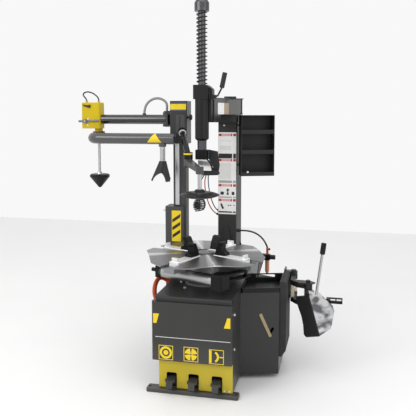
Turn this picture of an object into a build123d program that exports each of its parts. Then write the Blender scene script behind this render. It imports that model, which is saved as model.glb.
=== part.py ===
from build123d import *
import os
from math import atan2, cos, degrees, hypot, pi, radians, sin, tan

os.makedirs("parts", exist_ok=True)

# Tyre changer with a swing arm and an assist tower, in millimetres.
# +X right, +Y back, +Z up. The origin is on the floor under the turntable axis.

# ---- clearances and plain sheet ----
GAP = 0.3  # between faces of different bodies
RUN_FIT = 0.05  # radial, shaft in its bore
SHEET = 4.0  # cabinet steel
PIN_PLAY = 1.0  # end play of a pivot pin's bore

# ---- base rails ----
RAIL_LENGTH = 510.0
RAIL_DEPTH = 60.0
RAIL_HEIGHT = 22.0
FRONT_RAIL_Y = -295.0
REAR_RAIL_Y = 295.0
FOOT_RAIL_Y = 690.0
FLOOR_HOLE_R = 8.0
FLOOR_HOLE_PITCH = 480.0

# ---- cabinet ----
CAB_LEFT = -190.0
CAB_RIGHT = 220.0
CAB_FRONT = -287.0
CAB_REAR = 730.0
CAB_TOP = 532.0
TOP_PLATE_T = 8.0
TOP_PLATE_LEFT = -198.0
TOP_LIP = 14.0
DECK_Z = CAB_TOP + TOP_PLATE_T
PANEL_WIDTH = 440.0
PANEL_DEPTH = 33.0
PANEL_BOTTOM = 183.0
PANEL_TOP = 508.0
PEDAL_COVER_LEFT = -188.0
PEDAL_COVER_DEPTH = 13.0
PEDAL_COVER_BOTTOM = 25.0

# ---- side wing, its bumper pad and the tool tray ----
WING_Y = -58.0
WING_SIDE_X = 432.0
WING_SIDE_Y = 5.0
WING_REAR_Y = 296.0
WING_BOTTOM = 25.0
WING_TOP = 503.0
PAD_T = 38.0
PAD_FRONT = 20.0
PAD_REAR = 270.0
PAD_BOTTOM = 120.0
PAD_TOP = 560.0
PAD_BEVEL = 18.0
TRAY_LIP = 27.0
TRAY_RISE = 26.0
TRAY_RIM = WING_TOP + TRAY_LIP
TRAY_BACK = TRAY_RIM + TRAY_RISE
TRAY_WALL = 4.0
TRAY_SLOT = 115.0
TRAY_SLOT_H = 18.0

# ---- pedals ----
PEDAL_XS = (-115.0, 7.0, 136.0)
PEDAL_WINDOW = 58.0
PEDAL_WINDOW_TOP = 112.0
PEDAL_PIVOT_Y = -60.0
PEDAL_PIVOT_Z = 100.0
PEDAL_PIN_R = 8.0
PEDAL_ARM_W = 24.0
PEDAL_ARM_H = 12.0
PEDAL_PAD_W = 54.0
PEDAL_TIP_Y = -352.0
PEDAL_PAD_Z = 80.0

# ---- turntable ----
SLOT_ANGLE = 67.5  # first of four slides
PETAL_ANGLE = 22.5  # first of four petals
PETAL_R = 352.0
PETAL_HALF_ANGLE = 24.0
PETAL_SLOT_R = 358.0
PETAL_T = 6.0
PETAL_RIDGE_Z = 716.0
PETAL_FALL = 4.0  # degrees each side of the ridge
SLIDE_W = 62.0
SLIDE_GAP = 4.0
SLIDE_IN_R = 78.0
SLIDE_OUT_R = 286.0
SLIDE_TOP = 714.0
SLIDE_T = 28.0
GUIDE_T = 26.0
GUIDE_R = 330.0
CLAW_R = 118.0
CLAW_TOP = 792.0
CLAW_W = 46.0
HUB_R = 74.0
HUB_BOTTOM = 590.0
SPINDLE_R = 55.0
SPINDLE_FOOT = 430.0
BEARING_R = 92.0
BEARING_TOP = 572.0
CYL_R = 33.0
CYL_Z = 625.0
CYL_OFFSET = 204.0
CYL_START = -150.0
CYL_END = 214.0
CYL_BLOCK_T = 68.0
CYL_BLOCK_W = 84.0
CYL_BLOCK_H = 92.0

# ---- internal drive ----
SHELF_Z = 274.0
DRIVE_SHAFT_R = 12.0
GEARBOX_SIZE = (190.0, 170.0, 150.0)
MOTOR_R = 72.0
MOTOR_LENGTH = 190.0
MOTOR_Y = 250.0
PULLEY_R = 62.0
MOTOR_PULLEY_R = 30.0
BELT_W = 16.0
BELT_T = 6.0

# ---- column ----
COL_LEFT = -30.0
COL_RIGHT = 93.0
COL_FRONT = 515.0
COL_BACK = 713.0
COL_WALL = 6.0
COL_FLANGE_T = 14.0
COL_FLANGE_OUT = 38.0
HEAD_LEFT = -91.0
HEAD_RIGHT = 97.0
HEAD_FRONT = 480.0
HEAD_BOTTOM = 1451.0
HEAD_TOP = 1500.0
GUSSET_TOP = 777.0
GUSSET_T = 8.0

# ---- storage bin beside the column ----
BIN_YAW = 20.0
BIN_CORNER = (132.0, 471.0)
BIN_WIDTH = 215.0
BIN_DEPTH = 95.0
BIN_BOTTOM = 1108.0
BIN_TOP = 1497.0
BIN_WALL = 4.0
BIN_SHELVES = (1250.0, 1378.0)

# ---- air unit on its bracket plate behind the tray ----
FIN_T = 5.0
AIR_X = 296.0
AIR_Y = 540.0
BOWL_R = 14.0
BOWL_BOTTOM = 463.0
BOWL_TOP = 556.0
AIR_BODY_TOP = 592.0
KNOB_R = 15.0
KNOB_LENGTH = 34.0
KNOB_Z = 574.0
GLAND_Z = 742.0

# ---- swing arm ----
ARM_PIVOT = (31.0, 614.0)
ARM_PIVOT_R = 30.0
ARM_TOP = 1597.0
ARM_LOW = 1456.0
ARM_LOW_BACK = 285.0
ARM_FRONT = 190.0
ARM_FRONT_LEFT = -96.0
ARM_FRONT_RIGHT = 15.0
ARM_REAR_R = 72.0
ARM_COVER_T = 5.0
HOOK_ROD_R = 5.0

# ---- tool shaft on the arm's nose ----
TOOL_X = -46.0
TOOL_Y = 130.0
HOUSING_R = 40.0
HOUSING_SIZE = (92.0, 84.0)
HOUSING_BOTTOM = 1591.0
HOUSING_HEIGHT = 82.0
HOUSING_TOP = HOUSING_BOTTOM + HOUSING_HEIGHT
SLEEVE_R = 40.5
SLEEVE_BOTTOM = 1350.0
SLEEVE_BEVEL = 12.0
HEX_ACROSS = 48.0
HEX_PLAY = 0.5
CAP_R = 42.5
CAP_TOP = 2154.0
CAP_H = 62.0
SPRING_R = 32.5
SPRING_WIRE_R = 3.6
SPRING_TURNS = 18
HEAD_BLOCK_W = 70.0
HEAD_BLOCK_D = 64.0
HEAD_BLOCK_TOP = 1296.0
HEAD_BLOCK_BOTTOM = 1240.0
DUCK_BOTTOM = 1175.0
TOE_BOTTOM = 1145.0
LEVER_PIVOT = (31.0, 108.0, 1604.0)
LEVER_ROD_R = 5.0
LEVER_GRIP_R = 14.0

# ---- bead breaker at the right side ----
BREAK_PIVOT = (486.0, 318.0)
BREAK_POST_R = 16.0
BREAK_BOTTOM = 403.0
BREAK_TOP = 534.0
BOOM_T = 24.0
BLADE_PIVOT = (586.0, 112.0)
BLADE_PIN_R = 12.0
BLADE_T = 10.0
PAGE_SHEET = 900.0
HANDLE_R = 8.0
GRIP_R = 15.0
HANDLE_BASE = (634.0, 84.0, 478.0)
HANDLE_TOP = (663.0, 100.0, 712.0)
GRIP_LENGTH = 66.0
BAR_START = 690.0
BAR_END = 781.0
BAR_BOTTOM = 418.0
BAR_TOP = 450.0

# ---- assist tower at the left rear ----
POST_X = -247.0
POST_Y = 400.0
POST_W = 84.0
POST_D = 80.0
POST_WALL = 5.0
POST_BOTTOM = 300.0
POST_TOP = 1572.0
RAIL_W = 26.0
RAIL_T = 12.0
COVER_LEFT = -334.0
COVER_RIGHT = -214.0
COVER_BOTTOM = 250.0
COVER_TOP = 920.0
COVER_WALL = 3.0
CARR_BOTTOM = 1319.0
CARR_TOP = 1586.0
CARR_WALL = 12.0
SHOULDER = (-340.0, 400.0)
SHOULDER_PIN_R = 15.0
ARM_TUBE_R = 32.0
TUBE_WALL = 4.0
UPPER_Z = 1470.0
ELBOW = (-805.0, 400.0)
ELBOW_PIN_R = 12.0
BOX_LEFT = -908.0
BOX_RIGHT = -780.0
BOX_BOTTOM = 1410.0
BOX_TOP = 1579.0
BOX_DEPTH = 84.0
FORE_TUBE_R = 34.0
FORE_Z = 1352.0
FORE_Y = 250.0
FORE_END = -244.0
CONE_ROD_R = 9.0
CONE_R = 65.0
CONE_HEIGHT = 88.0
CONE_BOTTOM = 1022.0
CONE_TOP = CONE_BOTTOM + CONE_HEIGHT
CLAW_ROD_X = -325.0
CLAW_ROD_R = 16.5
CLAW_ROD_BOTTOM = 1215.0
CLAW_FOOT_R = 72.0
CLAW_FOOT_W = 28.0
CLAW_BOTTOM = 1091.0
THIRD_START = (-224.0, 340.0, 1400.0)
THIRD_END = (-122.0, 100.0, 1262.0)
THIRD_R = 17.5
DISC_AT = (-5.0, -100.0)
DISC_R = 112.0
DISC_TOP = 1078.0
DISC_BOTTOM = 1042.0
DISC_ROD_R = 12.0
DISC_HUB_R = 33.0

# ---- air lines ----
LINE_R = 4.5
LARGE_LINE_R = 13.0
ARM_HOSE_R = 8.0
LINE_GLAND_R = 8.0
TWIN_GLAND_R = 12.0
LARGE_GLAND_R = 17.0
BUNDLE_R = 44.0
BUNDLE_AT = (-139.0, 450.0)
BUNDLE_Z = (872.0, 966.0)


def save(piece, label):
    """Label a finished piece and write it as a STEP file of the same name."""
    piece.part.label = label
    export_step(piece.part, f"parts/{label}.step")


def slab(xs, ys, zs, mode=Mode.ADD):
    """Add or cut a box between limits along X, Y and Z."""
    spans = (xs, ys, zs)
    centre = Vector(*[(low + high) / 2 for low, high in spans])
    with Locations(centre):
        Box(*[high - low for low, high in spans], mode=mode)


def rod(start, end, radius, mode=Mode.ADD):
    """Add or cut a round bar between two points."""
    axis = Vector(*end) - Vector(*start)
    with Locations(Plane(origin=start, z_dir=axis)):
        Cylinder(radius, axis.length, align=(Align.CENTER, Align.CENTER, Align.MIN), mode=mode)


# ======== base rails ========
with BuildPart() as base_rails:
    with BuildSketch(Plane.XY):
        for rail_y in (FRONT_RAIL_Y, REAR_RAIL_Y):
            with Locations((0, rail_y)):
                RectangleRounded(RAIL_LENGTH, RAIL_DEPTH, RAIL_DEPTH / 5)
            with Locations((-FLOOR_HOLE_PITCH / 2, rail_y), (FLOOR_HOLE_PITCH / 2, rail_y)):
                Circle(FLOOR_HOLE_R, mode=Mode.SUBTRACT)
        # plain foot rail under the column
        with Locations((0, FOOT_RAIL_Y)):
            RectangleRounded(RAIL_LENGTH, RAIL_DEPTH, RAIL_DEPTH / 5)
    extrude(amount=RAIL_HEIGHT)
    for rail_top in base_rails.faces().filter_by(Axis.Z).group_by(Axis.Z)[-1]:
        chamfer(rail_top.outer_wire().edges(), 4)
save(base_rails, "base_rails")

# ======== cabinet ========
with BuildPart() as cabinet:
    with BuildSketch(Plane.XY.offset(RAIL_HEIGHT)):
        with Locations(((CAB_LEFT + CAB_RIGHT) / 2, (CAB_FRONT + CAB_REAR) / 2)):
            Rectangle(CAB_RIGHT - CAB_LEFT, CAB_REAR - CAB_FRONT)
    extrude(amount=CAB_TOP - RAIL_HEIGHT)
    slab(
        (CAB_LEFT + SHEET, CAB_RIGHT - SHEET),
        (CAB_FRONT + SHEET, CAB_REAR - SHEET),
        (RAIL_HEIGHT, CAB_TOP - SHEET),
        Mode.SUBTRACT,
    )
    # pedal opening in the front wall, behind the pedal cover
    slab(
        (PEDAL_XS[0] - PEDAL_WINDOW / 2 - 4, PEDAL_XS[-1] + PEDAL_WINDOW / 2 + 4),
        (CAB_FRONT - 1, CAB_FRONT + SHEET + 1),
        (RAIL_HEIGHT, PEDAL_WINDOW_TOP + 6),
        Mode.SUBTRACT,
    )
    # hole for the spindle bearing
    with Locations((0, 0, CAB_TOP - SHEET)):
        Cylinder(BEARING_R + GAP, 4 * SHEET, mode=Mode.SUBTRACT)
    # two beams across the floor of the cabinet tie it to the rails
    for beam_y in (FRONT_RAIL_Y + RAIL_DEPTH / 2 + 20, REAR_RAIL_Y):
        slab(
            (CAB_LEFT + SHEET, CAB_RIGHT - SHEET),
            (beam_y - 12, beam_y + 12),
            (RAIL_HEIGHT, RAIL_HEIGHT + 20),
        )
    # floor pan
    slab(
        (CAB_LEFT + SHEET, CAB_RIGHT - SHEET),
        (CAB_FRONT + SHEET, CAB_REAR - SHEET),
        (RAIL_HEIGHT, RAIL_HEIGHT + SHEET),
    )
    # drive shelf that carries the gearbox
    slab(
        (CAB_LEFT + SHEET, CAB_RIGHT - SHEET),
        (-GEARBOX_SIZE[1] / 2 - 10, MOTOR_Y + MOTOR_R + 10),
        (SHELF_Z - SHEET, SHELF_Z),
    )
    with Locations((0, 0, SHELF_Z), (0, MOTOR_Y, SHELF_Z)):
        Cylinder(DRIVE_SHAFT_R + 2, 4 * SHEET, mode=Mode.SUBTRACT)
    # pedal shaft from wall to wall
    rod(
        (CAB_LEFT + SHEET, PEDAL_PIVOT_Y, PEDAL_PIVOT_Z),
        (CAB_RIGHT - SHEET, PEDAL_PIVOT_Y, PEDAL_PIVOT_Z),
        PEDAL_PIN_R,
    )
    # louvres in the rear wall
    with BuildSketch(Plane.XZ.offset(-CAB_REAR)):
        with Locations(((CAB_LEFT + CAB_RIGHT) / 2, (CAB_TOP + RAIL_HEIGHT) / 2 + 100)):
            with GridLocations(110, 30, 3, 4):
                SlotOverall(80, 10)
    extrude(amount=2 * SHEET, both=True, mode=Mode.SUBTRACT)
save(cabinet, "cabinet")

with BuildPart() as top_plate:
    with BuildSketch(Plane.YZ.offset(TOP_PLATE_LEFT)):
        with BuildLine():
            Polyline(
                (CAB_FRONT - PANEL_DEPTH + 2, DECK_Z),
                (CAB_FRONT - PANEL_DEPTH + 2, DECK_Z - TOP_LIP),
                (CAB_FRONT - PANEL_DEPTH + 12, DECK_Z - TOP_LIP - 4),
                (CAB_FRONT - PANEL_DEPTH + 12, PANEL_TOP),
                (CAB_FRONT - PANEL_DEPTH + 16, PANEL_TOP),
                (CAB_FRONT - PANEL_DEPTH + 16, CAB_TOP),
                (CAB_REAR - 2, CAB_TOP),
                (CAB_REAR - 2, DECK_Z),
                close=True,
            )
        make_face()
    extrude(amount=CAB_RIGHT - 1 - TOP_PLATE_LEFT)
    with Locations((0, 0, DECK_Z)):
        Cylinder(BEARING_R + GAP, 4 * SHEET, mode=Mode.SUBTRACT)
save(top_plate, "top_plate")

with BuildPart() as front_panel:
    with BuildSketch(Plane.XY.offset(PANEL_BOTTOM)):
        with Locations((0, CAB_FRONT - PANEL_DEPTH / 2)):
            Rectangle(PANEL_WIDTH, PANEL_DEPTH)
    extrude(amount=PANEL_TOP - PANEL_BOTTOM)
    fillet(front_panel.faces().sort_by(Axis.Y)[0].edges().filter_by(Axis.Z), 9)
    slab(
        (-PANEL_WIDTH / 2 + SHEET, PANEL_WIDTH / 2 - SHEET),
        (CAB_FRONT - PANEL_DEPTH + SHEET, CAB_FRONT + 1),
        (PANEL_BOTTOM + SHEET, PANEL_TOP - SHEET),
        Mode.SUBTRACT,
    )
save(front_panel, "front_panel")

with BuildPart() as pedal_cover:
    slab(
        (PEDAL_COVER_LEFT, CAB_RIGHT),
        (CAB_FRONT - PEDAL_COVER_DEPTH, CAB_FRONT),
        (PEDAL_COVER_BOTTOM, PANEL_BOTTOM),
    )
    fillet(pedal_cover.faces().sort_by(Axis.Y)[0].edges().filter_by(Axis.Z), 5)
    slab(
        (PEDAL_COVER_LEFT + SHEET, CAB_RIGHT - SHEET),
        (CAB_FRONT - PEDAL_COVER_DEPTH + SHEET, CAB_FRONT + 1),
        (PEDAL_COVER_BOTTOM - 1, PANEL_BOTTOM - SHEET),
        Mode.SUBTRACT,
    )
    with BuildSketch(Plane.XZ.offset(-CAB_FRONT + PEDAL_COVER_DEPTH)):
        for window_x in PEDAL_XS:
            with Locations((window_x, PEDAL_WINDOW_TOP / 2)):
                RectangleRounded(PEDAL_WINDOW, PEDAL_WINDOW_TOP, 10)
            with Locations((window_x, PEDAL_COVER_BOTTOM / 2)):
                Rectangle(PEDAL_WINDOW, PEDAL_COVER_BOTTOM + 24)
    extrude(amount=-2 * PEDAL_COVER_DEPTH, mode=Mode.SUBTRACT)
save(pedal_cover, "pedal_cover")

# ======== side wing, pad and tray ========
WING_OUTLINE = (
    (CAB_RIGHT, WING_Y),
    (WING_SIDE_X, WING_SIDE_Y),
    (WING_SIDE_X, WING_REAR_Y),
    (CAB_RIGHT, WING_REAR_Y + 90),
)
WING_DIRECTION = degrees(atan2(WING_SIDE_Y - WING_Y, WING_SIDE_X - CAB_RIGHT))
with BuildPart() as wing:
    with BuildSketch(Plane.XY.offset(WING_BOTTOM)):
        with BuildLine():
            Polyline(*WING_OUTLINE, close=True)
        make_face()
        with BuildLine():
            Polyline(
                (CAB_RIGHT, WING_Y + SHEET * 2),
                (WING_SIDE_X - SHEET, WING_SIDE_Y + SHEET),
                (WING_SIDE_X - SHEET, WING_REAR_Y - SHEET),
                (CAB_RIGHT, WING_REAR_Y + 90 - SHEET * 2),
                close=True,
            )
        make_face(mode=Mode.SUBTRACT)
    extrude(amount=WING_TOP - WING_BOTTOM)
    with BuildSketch(Plane.XY.offset(WING_TOP - SHEET)):
        with BuildLine():
            Polyline(*WING_OUTLINE, close=True)
        make_face()
    extrude(amount=SHEET)
    # finger hole beside the slanted bar
    hole_plane = Plane(origin=(CAB_RIGHT, WING_Y, 0), x_dir=(cos(radians(WING_DIRECTION)),
                       sin(radians(WING_DIRECTION)), 0), z_dir=(sin(radians(WING_DIRECTION)),
                       -cos(radians(WING_DIRECTION)), 0))
    with BuildSketch(hole_plane):
        with Locations((178, 279)):
            SlotOverall(44, 16, rotation=60)
    extrude(amount=12, both=True, mode=Mode.SUBTRACT)
    # slanted stop bar riveted to the wing
    with BuildSketch(hole_plane):
        with Locations((143, 314)):
            SlotOverall(150, 17, rotation=-66)
    extrude(amount=5)
save(wing, "wing")

with BuildPart() as bumper_pad:
    with BuildSketch(Plane.XZ.offset(-PAD_FRONT)):
        with BuildLine():
            Polyline(
                (WING_SIDE_X, PAD_BOTTOM),
                (WING_SIDE_X, PAD_TOP),
                (WING_SIDE_X + PAD_T - PAD_BEVEL / 2, PAD_TOP),
                (WING_SIDE_X + PAD_T, PAD_TOP - PAD_BEVEL),
                (WING_SIDE_X + PAD_T, PAD_BOTTOM + 2 * PAD_BEVEL),
                (WING_SIDE_X + PAD_T / 3, PAD_BOTTOM),
                close=True,
            )
        make_face()
    extrude(amount=-(PAD_REAR - PAD_FRONT))
    # vertical grip grooves
    for groove_y in range(int(PAD_FRONT) + 30, int(PAD_REAR) - 10, 36):
        slab(
            (WING_SIDE_X + PAD_T - 5, WING_SIDE_X + PAD_T + 1),
            (groove_y, groove_y + 8),
            (PAD_BOTTOM - 1, PAD_TOP + 1),
            Mode.SUBTRACT,
        )
save(bumper_pad, "bumper_pad")

TRAY_OUTLINE = ((CAB_RIGHT + 2, WING_Y), (WING_SIDE_X, WING_SIDE_Y), (WING_SIDE_X, 235), (CAB_RIGHT + 2, 172))
with BuildPart() as tool_tray:
    with BuildSketch(Plane.XY.offset(WING_TOP)) as tray_base:
        with BuildLine():
            Polyline(*TRAY_OUTLINE, close=True)
        make_face()
        fillet(tray_base.vertices(), 10)
    extrude(amount=TRAY_BACK - WING_TOP)
    with BuildSketch(Plane.XY.offset(WING_TOP + TRAY_WALL)):
        add(tray_base.sketch.moved(Location((0, 0, -WING_TOP))))
        offset(amount=-TRAY_WALL, mode=Mode.REPLACE)
    extrude(amount=TRAY_BACK, mode=Mode.SUBTRACT)
    # the rim climbs from the front to the back wall
    with BuildSketch(Plane.YZ.offset(CAB_RIGHT - 10)):
        with BuildLine():
            Polyline((-80, TRAY_RIM), (120, TRAY_RIM), (165, TRAY_BACK), (165, TRAY_BACK + 9), (-80, TRAY_BACK + 9),
                     close=True)
        make_face()
    extrude(amount=WING_SIDE_X - CAB_RIGHT + 30, mode=Mode.SUBTRACT)
    slot_plane = Plane(origin=(327, 203, 0), x_dir=hole_plane.x_dir, z_dir=hole_plane.z_dir)
    with BuildSketch(slot_plane):
        with Locations((0, TRAY_RIM + TRAY_SLOT_H / 2 + 1)):
            SlotOverall(TRAY_SLOT, TRAY_SLOT_H)
    extrude(amount=20, both=True, mode=Mode.SUBTRACT)
save(tool_tray, "tool_tray")

# ======== pedals ========
for number, pedal_x in enumerate(PEDAL_XS, start=1):
    with BuildPart() as pedal:
        # arm from the pivot forward, bent down to the pad
        with BuildSketch(Plane.YZ.offset(pedal_x - PEDAL_ARM_W / 2)):
            with BuildLine():
                Polyline(
                    (PEDAL_PIVOT_Y, PEDAL_PIVOT_Z + 14),
                    (PEDAL_PIVOT_Y, PEDAL_PIVOT_Z - 14),
                    (CAB_FRONT, PEDAL_PAD_Z - 14),
                    (PEDAL_TIP_Y + 20, PEDAL_PAD_Z - 14),
                    (PEDAL_TIP_Y + 20, PEDAL_PAD_Z),
                    (CAB_FRONT, PEDAL_PAD_Z),
                    close=True,
                )
            make_face()
            with Locations((PEDAL_PIVOT_Y, PEDAL_PIVOT_Z)):
                Circle(14)
                Circle(PEDAL_PIN_R + RUN_FIT, mode=Mode.SUBTRACT)
        extrude(amount=PEDAL_ARM_W)
        # flared pad, wider towards the foot
        with BuildSketch(Plane.XY.offset(PEDAL_PAD_Z - 6)):
            with BuildLine():
                Polyline(
                    (pedal_x - PEDAL_PAD_W / 2 + 6, CAB_FRONT + 6),
                    (pedal_x - PEDAL_PAD_W / 2, PEDAL_TIP_Y + 12),
                    (pedal_x - PEDAL_PAD_W / 2 + 10, PEDAL_TIP_Y),
                    (pedal_x + PEDAL_PAD_W / 2 - 10, PEDAL_TIP_Y),
                    (pedal_x + PEDAL_PAD_W / 2, PEDAL_TIP_Y + 12),
                    (pedal_x + PEDAL_PAD_W / 2 - 6, CAB_FRONT + 6),
                    close=True,
                )
            make_face()
        extrude(amount=PEDAL_ARM_H)
        # turned-down toe
        with BuildSketch(Plane.YZ.offset(pedal_x - PEDAL_PAD_W / 2 + 10)):
            with BuildLine():
                Polyline(
                    (PEDAL_TIP_Y, PEDAL_PAD_Z),
                    (PEDAL_TIP_Y - 8, PEDAL_PAD_Z - 34),
                    (PEDAL_TIP_Y, PEDAL_PAD_Z - 36),
                    (PEDAL_TIP_Y + 12, PEDAL_PAD_Z - 6),
                    close=True,
                )
            make_face()
        extrude(amount=PEDAL_PAD_W - 20)
    save(pedal, f"pedal_{number}")

# ======== turntable ========
PETAL_EDGE = SLIDE_W / 2 + SLIDE_GAP  # from the slot's middle line to a petal's edge
SLIDE_ANGLES = [SLOT_ANGLE + 90 * step for step in range(4)]


def polar(radius, angle):
    """Point at a radius and an angle in degrees."""
    return (radius * cos(radians(angle)), radius * sin(radians(angle)))


def slot_side_point(radius, side):
    """Point of a petal's edge beside a slot, with the petal along +X."""
    along = (radius**2 - PETAL_EDGE**2) ** 0.5
    x = along * cos(radians(45)) + PETAL_EDGE * sin(radians(45))
    y = along * sin(radians(45)) - PETAL_EDGE * cos(radians(45))
    return (x, side * y)


with BuildPart() as hub:
    # four guide beams under the slides, a centre drum and the spindle
    with BuildSketch(Plane.XY.offset(SLIDE_TOP - SLIDE_T - GUIDE_T)):
        with Locations(*[Location((0, 0, 0), (0, 0, 1), angle) for angle in (SLOT_ANGLE, SLOT_ANGLE + 90)]):
            Rectangle(2 * GUIDE_R, SLIDE_W + 6)
        Circle(HUB_R + 30)
    extrude(amount=GUIDE_T - GAP)
    with Locations((0, 0, HUB_BOTTOM)):
        Cylinder(HUB_R, SLIDE_TOP - SLIDE_T - GUIDE_T - HUB_BOTTOM, align=(Align.CENTER, Align.CENTER, Align.MIN))
    with Locations((0, 0, SPINDLE_FOOT)):
        Cylinder(SPINDLE_R, HUB_BOTTOM - SPINDLE_FOOT, align=(Align.CENTER, Align.CENTER, Align.MIN))
    # ribs that carry the petals between the guides
    with BuildSketch(Plane.XY.offset(SLIDE_TOP - SLIDE_T - GUIDE_T)):
        with Locations(*[Location((0, 0, 0), (0, 0, 1), angle) for angle in (PETAL_ANGLE, PETAL_ANGLE + 90)]):
            Rectangle(2 * (PETAL_R - 90), 12)
    extrude(amount=PETAL_RIDGE_Z - PETAL_T - (SLIDE_TOP - SLIDE_T - GUIDE_T) - 2 * GAP)
    # round nut on top
    with Locations((0, 0, SLIDE_TOP - SLIDE_T - GAP)):
        Cylinder(SLIDE_IN_R - 34, PETAL_RIDGE_Z - SLIDE_TOP + SLIDE_T, align=(Align.CENTER, Align.CENTER, Align.MIN))
save(hub, "table_hub")

# one petal along +X: a folded plate cut to its outline, then four of them
with BuildPart() as petal:
    with BuildSketch(Plane.YZ):
        with BuildLine():
            Polyline(
                (-PETAL_R, -PETAL_R * tan(radians(PETAL_FALL))),
                (0, 0),
                (PETAL_R, -PETAL_R * tan(radians(PETAL_FALL))),
                (PETAL_R, -PETAL_R * tan(radians(PETAL_FALL)) - PETAL_T),
                (0, -PETAL_T),
                (-PETAL_R, -PETAL_R * tan(radians(PETAL_FALL)) - PETAL_T),
                close=True,
            )
        make_face()
    extrude(amount=PETAL_SLOT_R)
    with BuildSketch(Plane.XY.offset(-3 * PETAL_FALL * PETAL_T)):
        with BuildLine():
            Polyline(
                slot_side_point(SLIDE_IN_R, -1),
                slot_side_point(PETAL_SLOT_R, -1),
                polar(PETAL_R, -PETAL_HALF_ANGLE),
                polar(PETAL_R, PETAL_HALF_ANGLE),
                slot_side_point(PETAL_SLOT_R, 1),
                slot_side_point(SLIDE_IN_R, 1),
                close=True,
            )
        make_face()
    extrude(amount=6 * PETAL_FALL * PETAL_T, mode=Mode.INTERSECT)

with BuildPart() as petals:
    with Locations((0, 0, PETAL_RIDGE_Z)):
        with PolarLocations(0, 4, start_angle=PETAL_ANGLE):
            add(petal.part)
save(petals, "petals")

# one jaw along +X: its slide, the upright at its outer end and the toothed claw
with BuildPart() as jaw_form:
    with BuildSketch(Plane.XY.offset(SLIDE_TOP - SLIDE_T)):
        with Locations(((SLIDE_IN_R + SLIDE_OUT_R) / 2, 0)):
            Rectangle(SLIDE_OUT_R - SLIDE_IN_R, SLIDE_W)
    extrude(amount=SLIDE_T)
    chamfer(jaw_form.faces().sort_by(Axis.Z)[-1].edges(), 3)
    with BuildSketch(Plane.XY.offset(SLIDE_TOP)):
        with Locations((SLIDE_IN_R + 110, 0), (SLIDE_IN_R + 145, 0)):
            Circle(7)
    extrude(amount=-9, mode=Mode.SUBTRACT)
    with BuildSketch(Plane.XY.offset(SLIDE_TOP - 4)):
        with Locations((SLIDE_OUT_R - 12, 0)):
            Rectangle(14, SLIDE_W - 24)
    extrude(amount=24)
    with BuildSketch(Plane.XZ):
        with BuildLine():
            Polyline(
                (CLAW_R - 34, SLIDE_TOP - 1),
                (CLAW_R + 40, SLIDE_TOP - 1),
                (CLAW_R + 36, SLIDE_TOP + 16),
                (CLAW_R + 14, SLIDE_TOP + 26),
                (CLAW_R + 12, CLAW_TOP - 22),
                (CLAW_R + 26, CLAW_TOP - 12),
                (CLAW_R + 16, CLAW_TOP),
                (CLAW_R - 4, CLAW_TOP - 4),
                (CLAW_R - 22, SLIDE_TOP + 38),
                close=True,
            )
        make_face()
    extrude(amount=CLAW_W / 2, both=True)

for number, slide_angle in enumerate(SLIDE_ANGLES, start=1):
    with BuildPart() as jaw:
        with Locations(Location((0, 0, 0), (0, 0, 1), slide_angle)):
            add(jaw_form.part)
    save(jaw, f"jaw_{number}")

# clamp cylinders below the petals, one each side of the axis: the form lies
# along +X beside the axis on the -Y side
GUIDE_BOTTOM = SLIDE_TOP - SLIDE_T - GUIDE_T
with BuildPart() as cylinder_form:
    with BuildSketch(Plane.YZ.offset(CYL_START)):
        with Locations((-CYL_OFFSET, CYL_Z)):
            Circle(CYL_R)
    extrude(amount=CYL_END - CYL_START)
    with BuildSketch(Plane.YZ.offset(CYL_START - 22)):
        with Locations((-CYL_OFFSET, CYL_Z)):
            RectangleRounded(2 * CYL_R + 2, 2 * CYL_R + 2, 8)
    extrude(amount=22)
    with BuildSketch(Plane.YZ.offset(CYL_START)):
        with Locations((-CYL_OFFSET, CYL_Z)):
            Circle(CYL_R + 1)
    extrude(amount=14)
    rod((CYL_START - 70, -CYL_OFFSET, CYL_Z), (CYL_START - 20, -CYL_OFFSET, CYL_Z), 11)
    # saddle up to the guide beam
    slab((-24, 24), (-CYL_OFFSET - 18, -CYL_OFFSET + 18), (CYL_Z, GUIDE_BOTTOM))

with BuildPart() as block_form:
    with BuildSketch(Plane.YZ.offset(CYL_END)):
        with Locations((-CYL_OFFSET, CYL_Z)):
            RectangleRounded(CYL_BLOCK_W, CYL_BLOCK_H, 8)
    extrude(amount=CYL_BLOCK_T)
    chamfer(block_form.faces().sort_by(Axis.X)[-1].edges(), 8)
    # two link plates from the block to a pin under the guide beam
    for link_z in (GUIDE_BOTTOM - 42, GUIDE_BOTTOM - 8):
        with BuildSketch(Plane.XY.offset(link_z)):
            with BuildLine():
                Polyline(
                    (CYL_END + 12, -CYL_OFFSET + CYL_BLOCK_W / 2 - 2),
                    (CYL_END + 56, -CYL_OFFSET + CYL_BLOCK_W / 2 - 2),
                    (GUIDE_R - 24, -40),
                    (GUIDE_R - 24, 10),
                    (GUIDE_R - 66, 10),
                    (GUIDE_R - 70, -30),
                    close=True,
                )
            make_face()
        extrude(amount=8)
    rod((GUIDE_R - 46, -10, GUIDE_BOTTOM - 42), (GUIDE_R - 46, -10, GUIDE_BOTTOM), 10)

with BuildPart() as clamp_cylinders:
    with PolarLocations(0, 2, start_angle=SLOT_ANGLE - 90):
        add(cylinder_form.part)
        add(block_form.part)
save(clamp_cylinders, "clamp_cylinders")

# spindle bearing on the top plate
with BuildPart() as bearing:
    with Locations((0, 0, CAB_TOP - 90)):
        Cylinder(BEARING_R, BEARING_TOP - CAB_TOP + 90, align=(Align.CENTER, Align.CENTER, Align.MIN))
    with Locations((0, 0, DECK_Z)):
        Cylinder(BEARING_R + 22, 12, align=(Align.CENTER, Align.CENTER, Align.MIN))
    Cylinder(SPINDLE_R + RUN_FIT, 4 * DECK_Z, mode=Mode.SUBTRACT)
save(bearing, "spindle_bearing")

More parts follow.
